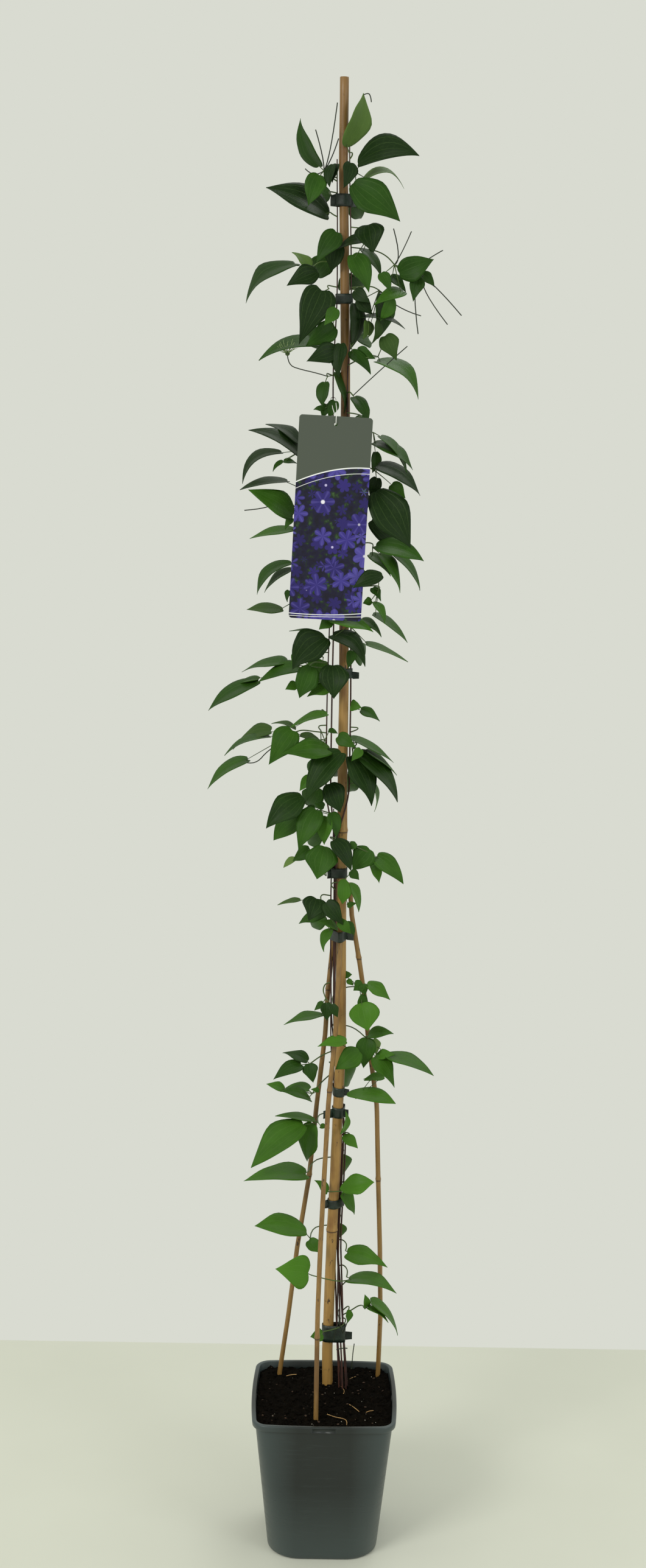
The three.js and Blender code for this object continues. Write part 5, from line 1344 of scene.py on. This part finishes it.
def leaf_material(name, stops, vein_code, roughness, raised):
    """A leaf's skin, its colour from the tone and its veins sunken or raised."""
    material, tree, shader = start_material(name, roughness, Specular_IOR_Level=0.14)
    coords = object_coords(tree)
    tone = add(tree, "Attribute", attribute_name="tone").outputs["Fac"]
    main, net = vein_marks(tree)
    blotch = speckle(tree, coords, 45, 4, 0.6)
    shifted = sums(tree, "ADD", tone, sums(tree, "MULTIPLY", sums(tree, "SUBTRACT", blotch, 0.5), 0.35))
    base = ramp(tree, shifted, stops)
    pale_main, pale_net = sums(tree, "MULTIPLY", main, 0.11), sums(tree, "MULTIPLY", net, 0.03)
    veins = sums(tree, "ADD", pale_main, pale_net, clamp=True)
    paint_base(tree, shader, mixed(tree, veins, base, vein_code))
    satin = span(tree, blotch, 0.3, 0.7, roughness - 0.06, roughness + 0.08)
    tree.links.new(satin, shader.inputs["Roughness"])
    height = sums(tree, "ADD", main, sums(tree, "MULTIPLY", net, 0.35))
    if not raised:
        height = sums(tree, "MULTIPLY", height, -1.0)
    relief(tree, shader, height, 0.0004, 0.3)
    return material


leaf_top = leaf_material(
    "leaf_upper_side",
    [(0.0, "152a0a"), (0.4, "26480e"), (0.65, "386016"), (1.0, "4a7a20")],
    "6f8f4a", 0.46, False,
)
leaf_under = leaf_material(
    "leaf_underside", [(0.0, "2c4419"), (0.5, "435f28"), (1.0, "64803f")], "7f9555", 0.6, True,
)
green_stalk = two_tone("green_stalks", 0.5, 60, "2a3f12", "4d6526")
red_stem, tree, shader = start_material("red_brown_stems", 0.6)
streaks = speckle(tree, object_coords(tree), 500, 4, 0.6, (1, 1, 0.05))
paint_base(tree, shader, ramp(tree, streaks, [(0.3, "1e0a05"), (0.55, "3a170c"), (0.75, "5e351c")]))
relief(tree, shader, streaks, 0.0003, 0.8)
cut_stalk = two_tone("cut_dark_stalks", 0.55, 90, "10180b", "232e12")
feather = two_tone("seed_head_feathers", 0.7, 200, "7d9a5c", "b4c48c")
LEAF_MATERIALS = [leaf_top, leaf_under, red_stem, green_stalk, cut_stalk, feather]
RED, GREEN, CUT, FEATHER = 2, 3, 4, 5

# %% [markdown]
# ### Stems and petioles
# Round things that follow a path are quickest as curves with a round bevel: every point carries
# its own radius. All the curves of one stem are turned into one mesh and joined with its leaves.

# %% Curves
STEM_RADIUS, STEM_TIP = 1.25, 0.8
PETIOLE_RADIUS, STALKLET_RADIUS, STALK_RADIUS = 0.85, 0.55, 0.7


def start_curves():
    curves = bpy.data.curves.new("stalks", "CURVE")
    curves.dimensions = "3D"
    curves.bevel_depth = 1
    curves.bevel_resolution = 1
    curves.use_fill_caps = True
    for material in LEAF_MATERIALS:
        curves.materials.append(material)
    return curves


def draw_curve(curves, points, radii, material_index, smooth=3):
    """A smooth path through the points, with a radius at each."""
    spline = curves.splines.new("NURBS")
    spline.points.add(len(points) - 1)
    for target, point, radius in zip(spline.points, points, radii):
        target.co = (*point, 1)
        target.radius = radius
    spline.use_endpoint_u = True
    spline.order_u = min(3, len(points))
    spline.resolution_u = smooth
    spline.material_index = material_index
    return spline


def stem_points(name):
    """Points along a stem, close enough that it keeps to its way round the cane."""
    rows = STEMS[name]
    heights = [rows[0][0]]
    for (low_z, low_turn, _), (z, turn, _) in zip(rows, rows[1:]):
        pieces = math.ceil(max(abs(turn - low_turn) / 24, (z - low_z) / 45))
        heights += [lerp(low_z, z, (step + 1) / pieces) for step in range(pieces)]
    return [stem_at(name, z) for z in heights]


def petiole_route(start, hub, hugs):
    """Leaves the stem outwards and turns about the tall cane to the hub."""
    def polar(point):
        centre = centre_at(main_rows, point.z)
        return math.atan2(point.x - centre.x, centre.y - point.y), (point - centre).to_2d().length

    turn_from, away_from = polar(start)
    turn_to, away_to = polar(hub)
    swing = (turn_to - turn_from + math.pi) % (2 * math.pi) - math.pi
    route = []
    for step in range(6):
        share = step / 5
        z = lerp(start.z, hub.z, share) + 3 * math.sin(math.pi * share)
        away = share**1.6 if hugs else math.sqrt(share)
        turn = turn_from + swing * (share if hugs else share * share)
        route.append(around_cane(z, turn, lerp(away_from, away_to, away)))
    return route


# %% Seed head
SEED_HEAD = (-66, 1579, 2)
KNOB_RADIUS = 3.0
STYLES = 26


def seed_head(curves, bm, rng):
    """A green knob with long feathery styles that curl out of it."""
    centre = seen(*SEED_HEAD)
    knob = Matrix.Translation(centre)
    made = bmesh.ops.create_icosphere(bm, subdivisions=2, radius=KNOB_RADIUS, matrix=knob)
    mark_faces(made["verts"], GREEN)
    for style in range(STYLES):
        turn, lean = style * 2.4, 0.2 + 0.95 * math.sqrt((style + 0.5) / STYLES)
        way = Vector((math.sin(lean) * math.cos(turn), math.sin(lean) * math.sin(turn), math.cos(lean)))
        bow = Vector((rng.uniform(-2, 2), rng.uniform(-2, 2), rng.uniform(-3, 1)))
        reach = 21 - 6 * lean
        points = [centre + way * 2, centre + way * reach * 0.6 + bow, centre + way * reach]
        draw_curve(curves, points, (0.42, 0.32, 0.15), FEATHER, 4)


# %% Make the leafy stems
# Leaflets get lighter towards the foot of the plant, from a height in metres.
LIGHTER_PER_METRE, EVEN_TONE_HEIGHT = 0.3, 1.25
FIRST_STEM_SEED = 11


def leafy_stem(name, seed):
    """One stem as a single piece: its own curve, petioles, stalks and all its leaflets."""
    rng = random.Random(seed)
    bm = bmesh.new()
    tone_layer = bm.verts.layers.float.new("tone")
    curves = start_curves()
    points = stem_points(name)
    shares = [i / (len(points) - 1) for i in range(len(points))]
    draw_curve(curves, points, [lerp(STEM_RADIUS, STEM_TIP, share**3) for share in shares], RED, 2)
    count = 0
    for growth in LEAVES[name] + BACK_LEAVES[name]:
        hub = growth["hub"]
        route = petiole_route(stem_at(name, growth["start_z"]), hub, growth["hugs"])
        draw_curve(curves, route, [PETIOLE_RADIUS] * len(route), GREEN)
        for place in growth["leaflets"]:
            root = leaflet_root(place)
            middle = hub.lerp(root, 0.5) + Vector((0, 0, rng.uniform(-1, 1)))
            draw_curve(curves, [hub, middle, root], (STALKLET_RADIUS + 0.15, STALKLET_RADIUS, 0.4), GREEN)
            first = len(bm.verts)
            turned_over = place["tone"] >= UNDERSIDE
            bm.from_mesh(templates[turned_over])
            bm.verts.ensure_lookup_table()
            fresh = bm.verts[first:]
            bend_leaflet(fresh, place, rng)
            shade = place["tone"] - (UNDERSIDE if turned_over else 0) + rng.uniform(-0.1, 0.1)
            shade += LIGHTER_PER_METRE * (EVEN_TONE_HEIGHT - place["base"].z * MM)
            for vert in fresh:
                vert[tone_layer] = shade
            count += 1
        for stalk in growth["stalks"]:
            path = [seen(*point) for point in stalk]
            draw_curve(curves, path, [STALK_RADIUS] * len(path), CUT, 4)
    if name == "stem_left_top":
        seed_head(curves, bm, rng)
    curves_to_bmesh(curves, bm)
    made = finish_mesh(bm, "leafy_" + name, LEAF_MATERIALS)
    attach(made, "root")
    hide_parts(name)
    print(name, count, "leaflets,", len(made.data.polygons), "faces")
    return made


for seed, name in enumerate(STEMS):
    leafy_stem(name, seed + FIRST_STEM_SEED)

# %% [markdown]
# ## The ties
# Soft grey-green tape is wound round the cane and the stems and stapled, with its ends left
# long. Each tie is a band pulled tight round what it holds, a little slanted and crumpled, with
# a thickness, and flat loose ends that curl away from it.

# %% Ties
TAPE = {"thickness": 0.5, "middle": 0.95, "sides": 64, "rows": 5, "crumple": 0.25}
FIRST_TIE_SEED = 3
ALL_STEMS = list(STEMS)
UPPER_STEMS = ["stem_right", "stem_left_top"]
TAPES = {
    "tape_1": {"z": (262, 286), "holds": ALL_STEMS, "ends": [(100, 9, 0.5)]},
    "tape_2": {"z": (455, 467), "holds": ALL_STEMS, "ends": [(290, 7, 1)]},
    "tape_3": {"z": (583, 597), "holds": ALL_STEMS, "ends": [(300, 16, 0.9), (75, 6, 0.8)]},
    "tape_4": {"z": (613, 625), "holds": ALL_STEMS, "ends": [(95, 6, 0.8)]},
    "tape_5": {"z": (828, 842), "holds": ["cane_left", "cane_front", *ALL_STEMS[:4]], "ends": [(80, 9, 0.8)]},
    "tape_6": {"z": (912, 925), "holds": ALL_STEMS[:4], "ends": [(330, 7, 0.9)]},
    "tape_7": {"z": (1173, 1186), "holds": ["stem_right"], "ends": [(75, 9, 0.7)]},
    "tape_8": {"z": (1640, 1652), "holds": UPPER_STEMS, "ends": [(200, 6, 0.8)]},
    "tape_9": {"z": (1756, 1771), "holds": UPPER_STEMS, "ends": [(250, 6, 1), (80, 7, 0.8)]},
}

tape_plastic, tree, shader = start_material("tie_tape", 0.42)
coords = object_coords(tree)
wear = speckle(tree, coords, 140, 4, 0.6)
paint_base(tree, shader, ramp(tree, wear, [(0.35, "0f1a13"), (0.6, "1b2b21"), (0.8, "35483c")]))
relief(tree, shader, speckle(tree, coords, 700, 3, 0.6, (1, 1, 0.3)), 0.0004, 0.7)


def held_circles(low_z, high_z, holds):
    """What a tie holds, as circles seen from above."""
    circles = []
    for z in (low_z, (low_z + high_z) / 2, high_z):
        circles.append((centre_at(main_rows, z), main_radius(z)))
        for name in holds:
            if name in thin_rows:
                circles.append((centre_at(thin_rows[name], z), THIN_CANE["radius"]))
            else:
                circles.append((stem_at(name, z), STEM_RADIUS))
    return circles


def wrap_point(circles, angle, offset):
    """Where a tight band lies at an angle: the corner between two lines that touch what it holds."""
    step = 2 * math.pi / TAPE["sides"]
    reaches = [
        max(c.x * math.cos(a) + c.y * math.sin(a) + radius for c, radius in circles) + offset
        for a in (angle, angle + step)
    ]
    x = (reaches[0] * math.sin(angle + step) - reaches[1] * math.sin(angle)) / math.sin(step)
    y = (reaches[1] * math.cos(angle) - reaches[0] * math.cos(angle + step)) / math.sin(step)
    return Vector((x, y))


def tie(name, seed):
    """A band pulled tight round what it holds, with its loose ends."""
    rng = random.Random(seed)
    facts = TAPES[name]
    low_z, high_z = facts["z"]
    tall = high_z - low_z
    circles = held_circles(low_z, high_z, facts["holds"])
    slant, slant_turn = rng.uniform(0.02, 0.06) * tall, rng.uniform(0, FULL_TURN)
    bm = bmesh.new()
    bmesh.ops.create_circle(bm, segments=TAPE["sides"], radius=1)
    edges = bm.edges[:]
    turn_of = {vert: math.atan2(vert.co.y, vert.co.x) for vert in bm.verts}
    for row in range(TAPE["rows"] + 1):
        if row:
            old = {vert.co.to_2d().freeze(): turn for vert, turn in turn_of.items()}
            edges = grow_ring(bm, edges)
            turn_of = {vert: old[vert.co.to_2d().freeze()] for vert in verts_of(edges)}
        for vert, turn in turn_of.items():
            spot = Vector((math.cos(turn) * 2, math.sin(turn) * 2, row * 0.8 + seed))
            flat = wrap_point(circles, turn, TAPE["middle"] + TAPE["crumple"] * noise.noise(spot))
            z = low_z + tall * row / TAPE["rows"] + slant * math.sin(turn + slant_turn)
            vert.co = (flat.x, flat.y, z + row * 0.0001)
    for degrees, length, share in facts["ends"]:
        loose_end(bm, circles, facts, math.radians(degrees), length, share, rng)
    bmesh.ops.solidify(bm, geom=bm.faces[:], thickness=TAPE["thickness"])
    bmesh.ops.recalc_face_normals(bm, faces=bm.faces)
    made = finish_mesh(bm, name + "_band", [tape_plastic])
    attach(made, "root")
    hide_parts(name)


def loose_end(bm, circles, facts, turn, length, share, rng):
    """A flat end that leaves the band and curls a little, with a crease along it."""
    low_z, high_z = facts["z"]
    way = Vector((math.sin(turn), -math.cos(turn), 0))
    side = Vector((math.cos(turn), math.sin(turn), 0))
    steps = [i * 2 * math.pi / TAPE["sides"] for i in range(TAPE["sides"])]
    anchor = max((wrap_point(circles, a, TAPE["middle"]) for a in steps), key=lambda p: p.dot(way.to_2d()))
    tall = (high_z - low_z) * share
    curl, droop = rng.uniform(-0.25, 0.25), rng.uniform(-0.15, 0.1)
    made = bmesh.ops.create_grid(bm, x_segments=8, y_segments=4, size=1)
    for vert in made["verts"]:
        out, up = (vert.co.x + 1) / 2, (vert.co.y + 1) / 2
        bow = curl * length * out * out + 0.4 * math.sin(up * math.pi) * out
        z = low_z + tall * (up * (1 - 0.15 * out) + 0.05 * out) + droop * length * out
        vert.co = anchor.to_3d() + way * (out * length) + side * bow + Vector((0, 0, z))


for seed, name in enumerate(TAPES):
    tie(name, seed + FIRST_TIE_SEED)
print("ties:", len(TAPES))

# %% [markdown]
# ## The card label
# The label is a stiff printed card with round corners and a hole. It is made from one face with
# its corners bevelled, filled round a circle for the hole, and given a thickness. The print is
# generic: a grey top, thin white arcs, and a violet field of plain six-petalled blossoms with
# some green between them, all drawn by nodes on the card's own UV map, with no words.

# %% Label shape
LABEL = {
    "width": 90, "height": 250, "thickness": 0.8, "corner": 4, "hole": 2, "hole_drop": 10,
    "lean": 2.4, "middle": (-9.8, -20, 1380.6),
}
HOLE_PLACE = Vector((0, LABEL["height"] / 2 - LABEL["hole_drop"], 0))
label_place = (
    Matrix.Translation(LABEL["middle"])
    @ Matrix.Rotation(math.radians(LABEL["lean"]), 4, "Y")
    @ Matrix.Rotation(math.pi / 2, 4, "X")
)


def label_card():
    """The card in its place, with its print's UV map and another material on its edges."""
    bm = bmesh.new()
    uv_layer = bm.loops.layers.uv.new("card_uv")
    size = Matrix.Diagonal((LABEL["width"], LABEL["height"], 1, 1))
    bmesh.ops.create_grid(bm, x_segments=1, y_segments=1, size=0.5, matrix=size)
    bmesh.ops.bevel(
        bm, geom=bm.verts[:], offset=LABEL["corner"], segments=8, affect="VERTICES", profile=0.5, material=-1
    )
    bmesh.ops.delete(bm, geom=bm.faces[:], context="FACES_ONLY")
    bmesh.ops.create_circle(bm, segments=32, radius=LABEL["hole"], matrix=Matrix.Translation(HOLE_PLACE))
    bmesh.ops.triangle_fill(bm, edges=bm.edges[:], use_beauty=True)
    for face in bm.faces:
        for loop in face.loops:
            loop[uv_layer].uv = (
                loop.vert.co.x / LABEL["width"] + 0.5,
                loop.vert.co.y / LABEL["height"] + 0.5,
            )
    bmesh.ops.solidify(bm, geom=bm.faces[:], thickness=LABEL["thickness"])
    middle = (max(v.co.z for v in bm.verts) + min(v.co.z for v in bm.verts)) / 2
    bmesh.ops.translate(bm, vec=(0, 0, -middle), verts=bm.verts)
    bmesh.ops.recalc_face_normals(bm, faces=bm.faces)
    for face in bm.faces:
        face.material_index = int(abs(face.normal.z) < 0.5)
    bmesh.ops.transform(bm, matrix=label_place, verts=bm.verts)
    return bm


# %% Label print
# Each arc: its height at the left edge, its rise to the right, how it bows up, and its width.
ARCS = [(168, 21, 6, 1.4), (160, 22, 6, 0.6), (6, 4, -2, 0.9), (3, 3, -1, 0.6)]


def blossom_field(tree, places, scale, size):
    """Marks of six-petalled blossoms, one in each cell: petals, pale bars along them, eyes."""
    cells = add(tree, "TexVoronoi", {"Vector": places, "Scale": scale, "Randomness": 0.75})
    offset = add(
        tree, "VectorMath", {0: places, 1: cells.outputs["Position"]}, operation="SUBTRACT"
    ).outputs[0]
    split = add(tree, "SeparateXYZ", {0: offset})
    radius = add(tree, "VectorMath", {0: offset}, operation="LENGTH").outputs["Value"]
    tint = add(tree, "SeparateColor", {0: cells.outputs["Color"]})
    angle = sums(tree, "ARCTAN2", split.outputs[1], split.outputs[0])
    turned = sums(tree, "ADD", angle, sums(tree, "MULTIPLY", tint.outputs[0], FULL_TURN))
    wave = sums(tree, "ABSOLUTE", sums(tree, "COSINE", sums(tree, "MULTIPLY", turned, 3.0)))
    reach = sums(tree, "MULTIPLY_ADD", sums(tree, "POWER", wave, 0.5), 0.5 * size, 0.5 * size)
    petals = span(tree, sums(tree, "SUBTRACT", reach, radius), -0.02 * size, 0.06 * size)
    bars = sums(tree, "MULTIPLY", sums(tree, "POWER", wave, 14.0), petals)
    eyes = span(tree, radius, 0.2 * size, 0.12 * size)
    return petals, bars, eyes, tint.outputs[1]


label_print, tree, shader = start_material("label_print", 0.34, Specular_IOR_Level=0.35)
uv = add(tree, "UVMap", uv_map="card_uv").outputs[0]
card_places = add(tree, "Mapping", {"Vector": uv, "Scale": (LABEL["width"], LABEL["height"], 1)}).outputs[0]
split = add(tree, "SeparateXYZ", {0: card_places})
across, up = split.outputs[0], split.outputs[1]


def arc_line(height, rise, bow, width):
    """How far a place is above a line across the card, and the line's own mark."""
    share = sums(tree, "DIVIDE", across, LABEL["width"])
    swell = sums(tree, "MULTIPLY", share, sums(tree, "SUBTRACT", 1.0, share))
    bowed = sums(tree, "MULTIPLY", swell, 4 * bow)
    line = sums(tree, "ADD", sums(tree, "MULTIPLY_ADD", share, rise, height), bowed)
    off = sums(tree, "SUBTRACT", up, line)
    return off, span(tree, sums(tree, "ABSOLUTE", off), width / 2 + 0.15, width / 2 - 0.15)


far_places = add(tree, "Mapping", {"Vector": card_places, "Rotation": (0, 0, 0.4)}).outputs[0]
far_petals, _, far_eyes, far_tint = blossom_field(tree, far_places, 0.055, 9.5)
near_places = add(tree, "Mapping", {"Vector": card_places, "Location": (31, 17, 0)}).outputs[0]
near_petals, near_bars, near_eyes, near_tint = blossom_field(tree, near_places, 0.038, 15.0)
leafy = add(tree, "TexNoise", {"Vector": card_places, "Scale": 0.12, "Detail": 4.0}).outputs[0]
field = ramp(tree, leafy, [(0.35, "08061a"), (0.5, "0f0b2c"), (0.6, "142318"), (0.75, "3c5f2c")])
field = mixed(tree, far_petals, field, ramp(tree, far_tint, [(0.0, "1b1250"), (1.0, "2c2170")]))
field = mixed(tree, far_eyes, field, "b9b2da")
petal = ramp(tree, near_tint, [(0.0, "21185e"), (0.6, "31277c"), (1.0, "484192")])
field = mixed(tree, near_petals, field, petal)
field = mixed(tree, sums(tree, "MULTIPLY", near_bars, 0.3), field, "6a60b4")
field = mixed(tree, near_eyes, field, "e6e4ee")
arc_marks = [arc_line(*arc) for arc in ARCS]
face = mixed(tree, span(tree, arc_marks[0][0], -0.2, 0.2), field, "4a5147")
for _, line in arc_marks:
    face = mixed(tree, line, face, "eceeec")
paint_base(tree, shader, face)

card_edge = two_tone("label_edge", 0.6, 300, "3a3d3a", "6b6e6a")
label = finish_mesh(label_card(), "card_label", [label_print, card_edge], smooth=False)
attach(label, "root")
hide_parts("label")

# %% Label loop
# A thin white elastic goes through the hole and round a stem.
LOOP = {"radius": 0.5, "knot_z": 1526, "gap": 0.75, "side_turn": 1.6}
elastic = two_tone("white_elastic", 0.5, 900, "c9cac6", "f0f0ec")
hole = label_place @ HOLE_PLACE
knot = stem_at("stem_left_top", LOOP["knot_z"])


def around_knot(turn):
    """A point of the loop round the stem, at an angle from its front."""
    about = STEM_RADIUS + LOOP["gap"]
    return Vector((knot.x + about * math.sin(turn), knot.y - about * math.cos(turn), LOOP["knot_z"]))


knot_left, knot_right = around_knot(-LOOP["side_turn"]), around_knot(LOOP["side_turn"])
loop_points = [
    hole,
    hole + Vector((-0.6, 7, 7)),
    hole.lerp(knot_left, 0.6) + Vector((-1, 0, 2)),
    knot_left,
    around_knot(math.pi),
    knot_right,
    hole.lerp(knot_right, 0.6) + Vector((1, 0, 5)),
    hole + Vector((0.8, 2, 13)),
    hole + Vector((0.4, -3, 9)),
]
loop_curve = bpy.data.curves.new("loop", "CURVE")
loop_curve.dimensions = "3D"
loop_curve.bevel_depth = LOOP["radius"]
loop_curve.bevel_resolution = 2
spline = loop_curve.splines.new("BEZIER")
spline.bezier_points.add(len(loop_points) - 1)
for target, point in zip(spline.bezier_points, loop_points):
    target.co = point
    target.handle_left_type = target.handle_right_type = "AUTO"
spline.use_cyclic_u = True
spline.resolution_u = 8
bm = bmesh.new()
curves_to_bmesh(loop_curve, bm)
label_loop = finish_mesh(bm, "label_loop", [elastic])
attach(label_loop, "root")
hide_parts("label_tie")
print("label and its loop made")
